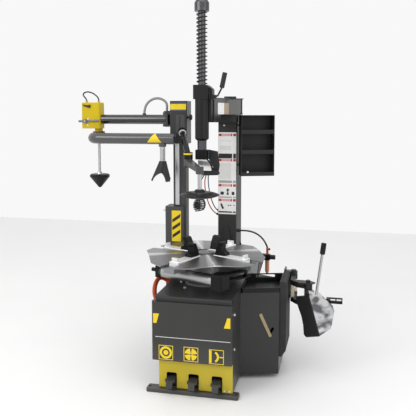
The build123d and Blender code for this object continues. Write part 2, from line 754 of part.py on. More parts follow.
# ======== internal drive ========
with BuildPart() as gearbox:
    slab(
        (-GEARBOX_SIZE[0] / 2, GEARBOX_SIZE[0] / 2),
        (-GEARBOX_SIZE[1] / 2, GEARBOX_SIZE[1] / 2),
        (SHELF_Z, SHELF_Z + GEARBOX_SIZE[2]),
    )
    fillet(gearbox.edges().filter_by(Axis.Z), 22)
    with Locations((0, 0, SHELF_Z + GEARBOX_SIZE[2])):
        Cylinder(SPINDLE_R + 10, SPINDLE_FOOT - GAP - SHELF_Z - GEARBOX_SIZE[2],
                 align=(Align.CENTER, Align.CENTER, Align.MIN))
    with Locations((0, 0, SHELF_Z)):
        Cylinder(DRIVE_SHAFT_R, 40, align=(Align.CENTER, Align.CENTER, Align.MAX))
save(gearbox, "gearbox")

with BuildPart() as motor:
    with Locations((0, MOTOR_Y, SHELF_Z)):
        Cylinder(MOTOR_R, MOTOR_LENGTH, align=(Align.CENTER, Align.CENTER, Align.MIN))
        Cylinder(DRIVE_SHAFT_R, 40, align=(Align.CENTER, Align.CENTER, Align.MAX))
    with Locations((0, MOTOR_Y, SHELF_Z + 20)):
        with PolarLocations(MOTOR_R, 16):
            Box(10, 4, MOTOR_LENGTH - 50, align=(Align.CENTER, Align.CENTER, Align.MIN))
save(motor, "motor")

BELT_Z = SHELF_Z - 36
PULLEYS = ((0, PULLEY_R), (MOTOR_Y, MOTOR_PULLEY_R))
with BuildPart() as belt_drive:
    for pulley_y, pulley_r in PULLEYS:
        with Locations((0, pulley_y, BELT_Z - 4)):
            Cylinder(pulley_r, BELT_W + 8, align=(Align.CENTER, Align.CENTER, Align.MIN))
            Cylinder(DRIVE_SHAFT_R, 4 * BELT_W, mode=Mode.SUBTRACT)
    with BuildSketch(Plane.XY.offset(BELT_Z)):
        for belt_grow, belt_mode in ((BELT_T, Mode.ADD), (0, Mode.SUBTRACT)):
            with BuildSketch(mode=Mode.PRIVATE) as loop:
                for pulley_y, pulley_r in PULLEYS:
                    with Locations((0, pulley_y)):
                        Circle(pulley_r + belt_grow)
                make_hull()
            add(loop.sketch, mode=belt_mode)
    extrude(amount=BELT_W)
save(belt_drive, "belt_drive")

# ======== column ========
COL_X = (COL_LEFT + COL_RIGHT) / 2
COL_Y = (COL_FRONT + COL_BACK) / 2
with BuildPart() as column:
    with BuildSketch(Plane.XY.offset(DECK_Z)):
        with Locations((COL_X, COL_Y)):
            RectangleRounded(COL_RIGHT - COL_LEFT, COL_BACK - COL_FRONT, 10)
            RectangleRounded(COL_RIGHT - COL_LEFT - 2 * COL_WALL, COL_BACK - COL_FRONT - 2 * COL_WALL, 5,
                             mode=Mode.SUBTRACT)
    extrude(amount=HEAD_BOTTOM - DECK_Z)
    # base flange round the tube
    with BuildSketch(Plane.XY.offset(DECK_Z)):
        with Locations((COL_X, (COL_FRONT - COL_FLANGE_OUT + CAB_REAR - 4) / 2)):
            RectangleRounded(COL_RIGHT - COL_LEFT + 2 * COL_FLANGE_OUT,
                             CAB_REAR - 4 - COL_FRONT + COL_FLANGE_OUT, 12)
        with Locations((COL_X, COL_Y)):
            Rectangle(COL_RIGHT - COL_LEFT - 4, COL_BACK - COL_FRONT - 4, mode=Mode.SUBTRACT)
    extrude(amount=COL_FLANGE_T)
    # stiffening plate on the front face
    with BuildSketch(Plane.XZ.offset(-COL_FRONT)):
        with BuildLine():
            Polyline(
                (COL_LEFT, DECK_Z + COL_FLANGE_T),
                (COL_LEFT + 48, GUSSET_TOP),
                (COL_LEFT + 68, GUSSET_TOP),
                (COL_RIGHT, DECK_Z + COL_FLANGE_T),
                close=True,
            )
        make_face()
    extrude(amount=GUSSET_T)
    # side gussets
    for gusset_x, reach in ((COL_RIGHT, COL_FLANGE_OUT - 6), (COL_LEFT, -COL_FLANGE_OUT + 6)):
        for gusset_y in (COL_FRONT + 40, COL_BACK - 40):
            with BuildSketch(Plane.XZ.offset(-gusset_y)):
                with BuildLine():
                    Polyline(
                        (gusset_x, DECK_Z + COL_FLANGE_T),
                        (gusset_x + reach, DECK_Z + COL_FLANGE_T),
                        (gusset_x, DECK_Z + 110),
                        close=True,
                    )
                make_face()
            extrude(amount=GUSSET_T)
save(column, "column")

with BuildPart() as column_head:
    with BuildSketch(Plane.XY.offset(HEAD_BOTTOM)):
        with BuildLine():
            Polyline(
                (HEAD_LEFT, HEAD_FRONT + 20),
                (HEAD_LEFT + 20, HEAD_FRONT),
                (HEAD_RIGHT, HEAD_FRONT),
                (HEAD_RIGHT, COL_BACK),
                (HEAD_LEFT, COL_BACK),
                close=True,
            )
        make_face()
    extrude(amount=HEAD_TOP - HEAD_BOTTOM)
    # pivot post with its cap above the arm
    with Locations((*ARM_PIVOT, HEAD_BOTTOM + 8)):
        Cylinder(ARM_PIVOT_R, ARM_TOP + ARM_COVER_T + 8 - HEAD_BOTTOM,
                 align=(Align.CENTER, Align.CENTER, Align.MIN))
    with Locations((*ARM_PIVOT, ARM_TOP + ARM_COVER_T + GAP)):
        Cylinder(ARM_PIVOT_R + 10, 16, align=(Align.CENTER, Align.CENTER, Align.MIN))
save(column_head, "column_head")

bin_plane = Plane(
    origin=(*BIN_CORNER, 0),
    x_dir=(cos(radians(BIN_YAW)), sin(radians(BIN_YAW)), 0),
    z_dir=(0, 0, 1),
)
with BuildPart() as storage_bin:
    with BuildSketch(bin_plane.offset(BIN_BOTTOM)):
        Rectangle(BIN_WIDTH, BIN_DEPTH, align=(Align.MIN, Align.MIN))
    extrude(amount=BIN_TOP - BIN_BOTTOM)
    levels = (BIN_BOTTOM, *BIN_SHELVES, BIN_TOP - BIN_WALL)
    for low, high in zip(levels, levels[1:]):
        # room of one compartment, then its front opening above a low lip
        with BuildSketch(bin_plane.offset(low + BIN_WALL)):
            with Locations((BIN_WIDTH / 2, BIN_DEPTH / 2)):
                Rectangle(BIN_WIDTH - 2 * BIN_WALL, BIN_DEPTH - 2 * BIN_WALL)
        extrude(amount=high - low - BIN_WALL, mode=Mode.SUBTRACT)
        with BuildSketch(bin_plane.offset(low + 26)):
            with Locations((BIN_WIDTH / 2, 0)):
                Rectangle(BIN_WIDTH - 2 * BIN_WALL, 4 * BIN_WALL)
        extrude(amount=high - low - 26, mode=Mode.SUBTRACT)
    # two bracket plates from the back wall to the column
    back_left = bin_plane.from_local_coords((0, BIN_DEPTH, 0))
    back_mid = bin_plane.from_local_coords((90, BIN_DEPTH, 0))
    slope = (back_mid.Y - back_left.Y) / (back_mid.X - back_left.X)
    for bracket_z in (BIN_BOTTOM + 60, BIN_TOP - 70):
        with BuildSketch(Plane.XY.offset(bracket_z)):
            with BuildLine():
                Polyline(
                    (COL_RIGHT, back_left.Y - slope * (back_left.X - COL_RIGHT)),
                    (back_mid.X, back_mid.Y),
                    (COL_RIGHT, back_left.Y + 90),
                    close=True,
                )
            make_face()
        extrude(amount=8)
save(storage_bin, "storage_bin")

# ======== swing arm ========
ARM_BOTTOM = HEAD_TOP + GAP
with BuildSketch() as arm_outline:
    with Locations(((ARM_FRONT_LEFT + ARM_FRONT_RIGHT) / 2, ARM_FRONT + 2)):
        Rectangle(ARM_FRONT_RIGHT - ARM_FRONT_LEFT, 4)
    with Locations(ARM_PIVOT):
        Circle(ARM_REAR_R)
    make_hull()

with BuildPart() as swing_arm:
    with BuildSketch(Plane.XY.offset(ARM_BOTTOM)):
        add(arm_outline.sketch)
    extrude(amount=ARM_TOP - ARM_BOTTOM)
    # deeper nose in front of the fixed head and the bin
    with BuildSketch(Plane.XY.offset(ARM_LOW)):
        add(arm_outline.sketch)
        with Locations((0, (ARM_FRONT + ARM_LOW_BACK) / 2)):
            Rectangle(4 * ARM_REAR_R, ARM_LOW_BACK - ARM_FRONT, mode=Mode.INTERSECT)
    extrude(amount=ARM_BOTTOM - ARM_LOW)
    # hollow between the walls, solid round the pivot
    with BuildSketch(Plane.XY.offset(ARM_BOTTOM + 8)):
        add(arm_outline.sketch)
        offset(amount=-8, mode=Mode.REPLACE)
        with Locations(ARM_PIVOT):
            Circle(ARM_REAR_R, mode=Mode.SUBTRACT)
    extrude(amount=ARM_TOP - ARM_BOTTOM - 16, mode=Mode.SUBTRACT)
    with Locations((*ARM_PIVOT, ARM_BOTTOM)):
        Cylinder(ARM_PIVOT_R + RUN_FIT, 4 * ARM_REAR_R, mode=Mode.SUBTRACT)
save(swing_arm, "swing_arm")

with BuildPart() as arm_cover:
    with BuildSketch(Plane.XY.offset(ARM_TOP)):
        add(arm_outline.sketch)
        with BuildLine():
            Polyline((60, 440), (132, 452), (142, 480), (136, 512), (90, 530), close=True)
        make_face()
        with Locations(ARM_PIVOT):
            Circle(ARM_PIVOT_R + RUN_FIT, mode=Mode.SUBTRACT)
    extrude(amount=ARM_COVER_T)
    # rod with a turned foot that hangs from the lug
    rod((130, 478, ARM_BOTTOM + 10), (130, 478, ARM_TOP + 1), HOOK_ROD_R)
    with Locations((130, 478, ARM_BOTTOM + 6)):
        Cylinder(HOOK_ROD_R + 3, 8)
save(arm_cover, "arm_cover")

# ======== tool shaft, its housing and lever ========
HEX_R = HEX_ACROSS / 2
with BuildPart() as shaft_housing:
    # long sleeve with a bevelled end
    with Locations((TOOL_X, TOOL_Y, SLEEVE_BOTTOM)):
        Cylinder(SLEEVE_R, HOUSING_BOTTOM - SLEEVE_BOTTOM, align=(Align.CENTER, Align.CENTER, Align.MIN))
    chamfer(shaft_housing.faces().sort_by(Axis.Z)[0].edges(), SLEEVE_BEVEL)
    # web to the arm's front face
    slab(
        (TOOL_X - SLEEVE_R, ARM_FRONT_RIGHT - 6),
        (TOOL_Y, ARM_FRONT),
        (ARM_LOW + 6, HOUSING_BOTTOM),
    )
    # upper block with a chamfered shoulder on the right
    with BuildSketch(Plane.XY.offset(HOUSING_BOTTOM)):
        with Locations((TOOL_X, TOOL_Y)):
            RectangleRounded(*HOUSING_SIZE, 12)
        with BuildLine():
            Polyline(
                (TOOL_X, TOOL_Y - 30),
                (19, TOOL_Y - 14),
                (19, ARM_FRONT - 14),
                (5, ARM_FRONT),
                (TOOL_X - HOUSING_R + 4, ARM_FRONT),
                (TOOL_X - HOUSING_R + 2, TOOL_Y),
                close=True,
            )
        make_face()
    extrude(amount=HOUSING_TOP - HOUSING_BOTTOM)
    with BuildSketch(Plane.XZ.offset(-ARM_FRONT - 1)):
        with BuildLine():
            Polyline((TOOL_X + HOUSING_R - 8, HOUSING_TOP + 1), (20, HOUSING_TOP - 26), (20, HOUSING_TOP + 1),
                     close=True)
        make_face()
    extrude(amount=120, mode=Mode.SUBTRACT)
    # lug and pin of the lock lever
    lever_x, lever_y, lever_z = LEVER_PIVOT
    slab((18, lever_x + 9), (lever_y + 10 + GAP, lever_y + 32), (lever_z - 11, lever_z + 12))
    rod((lever_x, lever_y - 14, lever_z), (lever_x, lever_y + 20, lever_z), LEVER_ROD_R)
    with BuildSketch(Plane.XY.offset(SLEEVE_BOTTOM)):
        with Locations((TOOL_X, TOOL_Y)):
            RegularPolygon(HEX_R + HEX_PLAY, 6, major_radius=False)
    extrude(amount=HOUSING_TOP - SLEEVE_BOTTOM, mode=Mode.SUBTRACT)
save(shaft_housing, "shaft_housing")

with BuildPart() as lock_lever:
    with Locations(Plane(origin=(lever_x, lever_y + 10, lever_z), z_dir=(0, -1, 0))):
        Cylinder(11, 20, align=(Align.CENTER, Align.CENTER, Align.MIN))
    lever_knee = (lever_x + 22, lever_y, lever_z + 6)
    lever_neck = (lever_x + 45, lever_y, lever_z + 50)
    grip_top = (lever_x + 64, lever_y, lever_z + 138)
    rod((lever_x + 6, lever_y, lever_z), lever_knee, LEVER_ROD_R)
    rod(lever_knee, lever_neck, LEVER_ROD_R)
    with Locations(lever_knee):
        Sphere(LEVER_ROD_R)
    rod(lever_neck, grip_top, LEVER_GRIP_R)
    fillet(lock_lever.edges().filter_by(GeomType.CIRCLE).filter_by(lambda edge: edge.radius > 12), 5)
    with Locations(Plane(origin=(lever_x, lever_y + 11, lever_z), z_dir=(0, -1, 0))):
        Cylinder(LEVER_ROD_R + RUN_FIT, 60, align=(Align.CENTER, Align.CENTER, Align.MIN), mode=Mode.SUBTRACT)
save(lock_lever, "lock_lever")

CAP_BOTTOM = CAP_TOP - CAP_H
with BuildPart() as tool_shaft:
    with BuildSketch(Plane.XY.offset(HEAD_BLOCK_TOP)):
        with Locations((TOOL_X, TOOL_Y)):
            RegularPolygon(HEX_R, 6, major_radius=False)
    extrude(amount=HOUSING_TOP - HEAD_BLOCK_TOP)
    with Locations((TOOL_X, TOOL_Y, HOUSING_TOP)):
        Cylinder(HEX_R - 2, CAP_BOTTOM - HOUSING_TOP, align=(Align.CENTER, Align.CENTER, Align.MIN))
    # ribbed cap on top
    with BuildSketch(Plane.XZ.offset(-TOOL_Y)):
        with BuildLine():
            Polyline(
                (TOOL_X, CAP_BOTTOM),
                (TOOL_X + CAP_R, CAP_BOTTOM),
                (TOOL_X + CAP_R, CAP_TOP - 14),
                (TOOL_X + CAP_R - 8, CAP_TOP),
                (TOOL_X, CAP_TOP),
                close=True,
            )
        make_face()
    revolve(axis=Axis((TOOL_X, TOOL_Y, 0), (0, 0, 1)))
    with Locations((TOOL_X, TOOL_Y, CAP_BOTTOM + CAP_H / 2)):
        with PolarLocations(CAP_R, 12):
            Cylinder(3, CAP_H - 34, mode=Mode.SUBTRACT)
save(tool_shaft, "tool_shaft")

SPRING_CENTRE_R = SPRING_R - SPRING_WIRE_R
SPRING_HEIGHT = CAP_BOTTOM - HOUSING_TOP - 2 * SPRING_WIRE_R - 6 * GAP
with BuildPart() as return_spring:
    with BuildLine(Plane(origin=(TOOL_X, TOOL_Y, HOUSING_TOP + SPRING_WIRE_R + GAP))) as coil:
        Helix(SPRING_HEIGHT / SPRING_TURNS, SPRING_HEIGHT, SPRING_CENTRE_R)
    with BuildSketch(Plane(origin=coil.line @ 0, z_dir=coil.line % 0)):
        RegularPolygon(SPRING_WIRE_R, 8)
    sweep(is_frenet=True)
save(return_spring, "return_spring")

with BuildPart() as mount_head:
    slab(
        (TOOL_X - HEAD_BLOCK_W / 2, TOOL_X + HEAD_BLOCK_W / 2),
        (TOOL_Y - HEAD_BLOCK_D / 2, TOOL_Y + HEAD_BLOCK_D / 2),
        (HEAD_BLOCK_BOTTOM, HEAD_BLOCK_TOP),
    )
    chamfer(mount_head.edges().filter_by(Axis.Z), 8)
    # duck-bill shoe below the block
    with BuildSketch(Plane.XZ.offset(-TOOL_Y - 24)):
        with BuildLine():
            Polyline((TOOL_X + 30, HEAD_BLOCK_BOTTOM), (TOOL_X - 18, HEAD_BLOCK_BOTTOM))
            ThreePointArc(
                (TOOL_X - 18, HEAD_BLOCK_BOTTOM),
                (TOOL_X - 14, HEAD_BLOCK_BOTTOM - 36),
                (TOOL_X + 12, DUCK_BOTTOM),
            )
            Line((TOOL_X + 12, DUCK_BOTTOM), (TOOL_X + 62, DUCK_BOTTOM))
            ThreePointArc(
                (TOOL_X + 62, DUCK_BOTTOM),
                (TOOL_X + 56, DUCK_BOTTOM + 30),
                (TOOL_X + 30, HEAD_BLOCK_BOTTOM),
            )
        make_face()
    extrude(amount=48)
save(mount_head, "mount_head")

with BuildPart() as head_insert:
    # toe bar under the shoe and the backing sheet that stands behind it
    with BuildSketch(Plane.XZ.offset(-TOOL_Y - 14)):
        with BuildLine():
            Polyline(
                (TOOL_X + 4, DUCK_BOTTOM),
                (TOOL_X + 4, TOE_BOTTOM + 6),
                (TOOL_X + 18, TOE_BOTTOM),
                (TOOL_X + 98, TOE_BOTTOM + 4),
                (TOOL_X + 106, TOE_BOTTOM + 14),
                (TOOL_X + 96, DUCK_BOTTOM),
                close=True,
            )
        make_face()
    extrude(amount=30)
    with BuildSketch(Plane.XZ.offset(-TOOL_Y - 30)):
        with BuildLine():
            Polyline(
                (TOOL_X + HEAD_BLOCK_W / 2, HEAD_BLOCK_TOP),
                (TOOL_X + HEAD_BLOCK_W / 2 + 54, HEAD_BLOCK_TOP - 10),
                (TOOL_X + HEAD_BLOCK_W / 2 + 66, DUCK_BOTTOM + 30),
                (TOOL_X + HEAD_BLOCK_W / 2 + 58, TOE_BOTTOM + 6),
                (TOOL_X + HEAD_BLOCK_W / 2 + 22, TOE_BOTTOM + 6),
                (TOOL_X + HEAD_BLOCK_W / 2 + 28, DUCK_BOTTOM + 20),
                (TOOL_X + HEAD_BLOCK_W / 2, HEAD_BLOCK_BOTTOM),
                close=True,
            )
        make_face()
    extrude(amount=5)
save(head_insert, "head_insert")

# ======== bead breaker ========
break_x, break_y = BREAK_PIVOT
blade_x, blade_y = BLADE_PIVOT
BOOM_LEVELS = ((BREAK_BOTTOM, BREAK_BOTTOM + 24), (BREAK_TOP - 30, BREAK_TOP))
with BuildPart() as breaker_bracket:
    slab((WING_SIDE_X, WING_SIDE_X + 10), (PAD_REAR + 4, break_y + 24), (BREAK_BOTTOM - 40, BREAK_TOP + 34))
    for lug_z in (BREAK_BOTTOM - 16 - GAP, BREAK_TOP + GAP):
        with BuildSketch(Plane.XY.offset(lug_z)):
            with Locations((break_x, break_y)):
                Circle(24)
            with Locations(((WING_SIDE_X + break_x) / 2, break_y)):
                Rectangle(break_x - WING_SIDE_X, 48)
        extrude(amount=16)
    rod((break_x, break_y, BREAK_BOTTOM - 26), (break_x, break_y, BREAK_TOP + 24), BREAK_POST_R)
save(breaker_bracket, "breaker_bracket")

with BuildPart() as breaker_arm:
    for low, high in BOOM_LEVELS:
        with BuildSketch(Plane.XY.offset(low)):
            with BuildLine():
                Polyline((break_x, break_y), (break_x + 6, 180), (blade_x - 60, blade_y + 22), (blade_x, blade_y))
            trace(line_width=BOOM_T)
            with Locations((break_x, break_y), (blade_x, blade_y)):
                Circle(24)
        extrude(amount=high - low)
    # hexagonal top plate over the blade pivot
    with BuildSketch(Plane.XY.offset(BREAK_TOP)):
        with BuildLine():
            Polyline(
                (blade_x - 66, blade_y + 40),
                (blade_x - 74, blade_y + 4),
                (blade_x - 52, blade_y - 22),
                (blade_x + 18, blade_y - 22),
                (blade_x + 40, blade_y + 6),
                (blade_x + 10, blade_y + 34),
                close=True,
            )
        make_face()
    extrude(amount=8)
    # tube round the post, upright and tie rod between the two levels
    with Locations((break_x, break_y, BREAK_BOTTOM)):
        Cylinder(24, BREAK_TOP - BREAK_BOTTOM, align=(Align.CENTER, Align.CENTER, Align.MIN))
        Cylinder(BREAK_POST_R + RUN_FIT, 2 * BREAK_TOP, mode=Mode.SUBTRACT)
    slab((break_x - 4, break_x + 14), (172, 196), (BREAK_BOTTOM + 10, BREAK_TOP - 10))
    rod((break_x + 6, break_y, 468), (break_x + 6, 196, 468), 9)
    # blade pin
    rod((blade_x, blade_y, BREAK_BOTTOM), (blade_x, blade_y, BREAK_TOP + 20), BLADE_PIN_R)
    with Locations((break_x, break_y, BREAK_BOTTOM - 30)):
        Cylinder(BREAK_POST_R + RUN_FIT, 300, align=(Align.CENTER, Align.CENTER, Align.MIN), mode=Mode.SUBTRACT)
save(breaker_arm, "breaker_arm")

BLADE_SPINE = ((590, 478), (655, 243))
BLADE_PAGE_YAW = 25.0
SPINE_Y = 60.0
LEFT_PAGE = (
    (519, 457), (590, 478), (655, 243), (581, 218), (566, 232), (562, 289), (551, 343), (530, 399), (520, 431),
)
RIGHT_PAGE = ((590, 478), (643, 495), (663, 475), (727, 409), (737, 382), (729, 328), (720, 282), (655, 243))
spine = Vector(BLADE_SPINE[1][0] - BLADE_SPINE[0][0], 0, BLADE_SPINE[1][1] - BLADE_SPINE[0][1])
blade_pages = []
for page_outline, page_side in ((LEFT_PAGE, -1), (RIGHT_PAGE, 1)):
    across = Vector(page_side * cos(radians(BLADE_PAGE_YAW)), sin(radians(BLADE_PAGE_YAW)), 0)
    page_plane = Plane(
        origin=(BLADE_SPINE[0][0], SPINE_Y, BLADE_SPINE[0][1]),
        x_dir=spine,
        z_dir=spine.cross(across) * -page_side,
    )
    with BuildPart() as page:
        with BuildSketch(Plane.XZ.offset(-SPINE_Y + 20)):
            with BuildLine():
                Polyline(*page_outline, close=True)
            make_face()
        extrude(amount=-140)
        with Locations(page_plane):
            Box(PAGE_SHEET, PAGE_SHEET, BLADE_T, align=(Align.CENTER, Align.CENTER, Align.MIN), mode=Mode.INTERSECT)
    blade_pages.append(page.part)

with BuildPart() as breaker_blade:
    for blade_page in blade_pages:
        add(blade_page)
    # hinge barrel behind the spine with a web to each page
    with BuildSketch(Plane.XY.offset(BREAK_BOTTOM + 24 + GAP)):
        with Locations((blade_x, blade_y)):
            Circle(22)
        with BuildLine():
            Polyline((blade_x - 14, blade_y), (blade_x - 16, blade_y - 30), (blade_x + 38, blade_y - 38),
                     (blade_x + 18, blade_y + 10), close=True)
        make_face()
    extrude(amount=BREAK_TOP - 30 - BREAK_BOTTOM - 24 - 2 * GAP)
    with Locations((blade_x, blade_y, BREAK_BOTTOM)):
        Cylinder(BLADE_PIN_R + RUN_FIT, 400, mode=Mode.SUBTRACT)
save(breaker_blade, "breaker_blade")

with BuildPart() as blade_handle:
    rod(HANDLE_BASE, HANDLE_TOP, HANDLE_R)
    grip_axis = Vector(*HANDLE_TOP) - Vector(*HANDLE_BASE)
    grip_end = Vector(*HANDLE_TOP) + grip_axis.normalized() * GRIP_LENGTH
    rod(HANDLE_TOP, grip_end, GRIP_R)
    fillet(blade_handle.edges().filter_by(GeomType.CIRCLE).filter_by(lambda edge: edge.radius > 12), 5)
    # notched bar behind the right page
    for low, high in ((BAR_BOTTOM, BAR_BOTTOM + 14), (BAR_TOP - 5, BAR_TOP)):
        slab((BAR_START, BAR_END), (132, 150), (low, high))
    for upright in range(3):
        upright_x = BAR_END - 6 - 34 * upright
        slab((upright_x, upright_x + 6), (132, 150), (BAR_BOTTOM + 10, BAR_TOP - 2))
    slab((BAR_START, BAR_START + 16), (112, 134), (BAR_BOTTOM, BAR_TOP))
    add(breaker_blade.part, mode=Mode.SUBTRACT)
save(blade_handle, "blade_handle")

# ======== assist tower ========
POST_LEFT = POST_X - POST_W / 2
POST_FRONT = POST_Y - POST_D / 2
with BuildPart() as assist_post:
    with BuildSketch(Plane.XY.offset(POST_BOTTOM)):
        with Locations((POST_X, POST_Y)):
            RectangleRounded(POST_W, POST_D, 8)
            RectangleRounded(POST_W - 2 * POST_WALL, POST_D - 2 * POST_WALL, 4, mode=Mode.SUBTRACT)
    extrude(amount=POST_TOP - POST_BOTTOM)
    with BuildSketch(Plane.XY.offset(POST_TOP)):
        with Locations((POST_X, POST_Y)):
            RectangleRounded(POST_W, POST_D, 8)
    extrude(amount=4)
    # foot bolted to the cabinet's left wall at two heights
    for foot_z in (POST_BOTTOM + 30, POST_BOTTOM + 160):
        slab((POST_X, CAB_LEFT), (POST_Y + POST_D / 2, POST_Y + POST_D / 2 + 10), (foot_z, foot_z + 60))
        slab((CAB_LEFT - 10, CAB_LEFT), (POST_Y - 20, POST_Y + POST_D / 2 + 60), (foot_z, foot_z + 60))
    # guide rail on the front face
    slab(
        (POST_X - RAIL_W / 2 - 12, POST_X + RAIL_W / 2 - 12),
        (POST_FRONT - RAIL_T, POST_FRONT),
        (COVER_TOP + 10, POST_TOP - 10),
    )
    chamfer(assist_post.faces().sort_by(Axis.Y)[0].edges().filter_by(Axis.Z), 3)
save(assist_post, "assist_post")

with BuildPart() as tower_cover:
    slab((COVER_LEFT, COVER_RIGHT), (POST_FRONT - 34, POST_Y + POST_D / 2 - 2), (COVER_BOTTOM, COVER_TOP))
    fillet(tower_cover.faces().sort_by(Axis.Y)[0].edges().filter_by(Axis.Z), 8)
    slab(
        (COVER_LEFT + COVER_WALL, COVER_RIGHT - COVER_WALL),
        (POST_FRONT - 34 + COVER_WALL, POST_Y + POST_D),
        (COVER_BOTTOM - 1, COVER_TOP - COVER_WALL),
        Mode.SUBTRACT,
    )
    slab(
        (POST_LEFT - GAP, POST_X + POST_W / 2 + 30),
        (POST_FRONT - GAP, POST_Y + POST_D),
        (COVER_BOTTOM - 1, COVER_TOP + 1),
        Mode.SUBTRACT,
    )
save(tower_cover, "tower_cover")

CARR_PLAY = 0.8
shoulder_x, shoulder_y = SHOULDER
elbow_x, elbow_y = ELBOW
FORK_Z = (UPPER_Z - ARM_TUBE_R - 1, UPPER_Z + ARM_TUBE_R + 1)
with BuildPart() as carriage:
    inner_xs = (POST_LEFT - CARR_PLAY, POST_LEFT + POST_W + CARR_PLAY)
    inner_ys = (POST_FRONT - RAIL_T - CARR_PLAY, POST_FRONT + POST_D + CARR_PLAY)
    slab(
        (inner_xs[0] - CARR_WALL, inner_xs[1] + CARR_WALL),
        (inner_ys[0] - CARR_WALL, inner_ys[1] + CARR_WALL),
        (CARR_BOTTOM, CARR_TOP),
    )
    fillet(carriage.edges().filter_by(Axis.Z), 6)
    slab(inner_xs, inner_ys, (CARR_BOTTOM - 1, CARR_TOP + 1), Mode.SUBTRACT)
    # shoulder fork on the left
    for fork_z in (FORK_Z[0] - 12 - GAP, FORK_Z[1] + GAP):
        with BuildSketch(Plane.XY.offset(fork_z)):
            with Locations(SHOULDER):
                Circle(26)
            with Locations(((shoulder_x + inner_xs[0] - 4) / 2, shoulder_y)):
                Rectangle(inner_xs[0] - 4 - shoulder_x, 52)
            with Locations(SHOULDER):
                Circle(SHOULDER_PIN_R + RUN_FIT, mode=Mode.SUBTRACT)
        extrude(amount=12)
save(carriage, "carriage")

with BuildPart() as upper_arm:
    with Locations((shoulder_x, shoulder_y, FORK_Z[0])):
        Cylinder(24, FORK_Z[1] - FORK_Z[0], align=(Align.CENTER, Align.CENTER, Align.MIN))
    rod((shoulder_x, shoulder_y, FORK_Z[0] - 14), (shoulder_x, shoulder_y, FORK_Z[1] + 16), SHOULDER_PIN_R)
    with Locations((shoulder_x, shoulder_y, FORK_Z[1] + 12 + 2 * GAP)):
        Cylinder(SHOULDER_PIN_R + 6, 8, align=(Align.CENTER, Align.CENTER, Align.MIN))
    rod((BOX_RIGHT, elbow_y, UPPER_Z), (shoulder_x, shoulder_y, UPPER_Z), ARM_TUBE_R - 1)
    rod((BOX_RIGHT - 5, elbow_y, UPPER_Z), (shoulder_x - 24, shoulder_y, UPPER_Z), ARM_TUBE_R - 1 - TUBE_WALL, Mode.SUBTRACT)
    rod((-491, shoulder_y, UPPER_Z + ARM_TUBE_R - 4), (-491, shoulder_y, UPPER_Z + ARM_TUBE_R + 7), ARM_HOSE_R + 4)
save(upper_arm, "upper_arm")

FORE_TOP = FORE_Z + FORE_TUBE_R
with BuildPart() as control_box:
    slab((BOX_LEFT, BOX_RIGHT), (elbow_y - BOX_DEPTH / 2, elbow_y + BOX_DEPTH / 2), (BOX_BOTTOM, BOX_TOP))
    fillet(control_box.edges().filter_by(Axis.Z), 12)
    chamfer(control_box.faces().sort_by(Axis.Z)[-1].edges(), 5)
    # collar and pin of the elbow below the box
    rod((elbow_x, elbow_y, FORE_TOP + 6 + GAP), (elbow_x, elbow_y, BOX_BOTTOM + 1), 26)
    rod((elbow_x, elbow_y, FORE_Z - 20), (elbow_x, elbow_y, BOX_BOTTOM), ELBOW_PIN_R)
    # glands of the hose loop on top
    for gland_x in (BOX_LEFT + 22, BOX_RIGHT - 22):
        rod((gland_x, elbow_y, BOX_TOP - 1), (gland_x, elbow_y, BOX_TOP + 10), 8)
    # lever pin on the front face
    rod((BOX_LEFT + 30, elbow_y - BOX_DEPTH / 2 + 1, UPPER_Z - 12),
        (BOX_LEFT + 30, elbow_y - BOX_DEPTH / 2 - 20, UPPER_Z - 12), 6)
save(control_box, "control_box")

with BuildPart() as control_lever:
    lever_face = elbow_y - BOX_DEPTH / 2 - GAP
    with BuildSketch(Plane.XZ.offset(-lever_face)):
        with Locations((BOX_LEFT + 30, UPPER_Z - 12)):
            Circle(13)
            Circle(6 + RUN_FIT, mode=Mode.SUBTRACT)
    extrude(amount=14)
    rod((BOX_LEFT + 30 + 12, lever_face - 7, UPPER_Z - 12), (BOX_RIGHT - 6, lever_face - 7, UPPER_Z - 10), 5)
    rod((BOX_LEFT + 30 - 12, lever_face - 7, UPPER_Z - 12), (BOX_LEFT - 16, lever_face - 7, UPPER_Z - 13), 7)
save(control_lever, "control_lever")

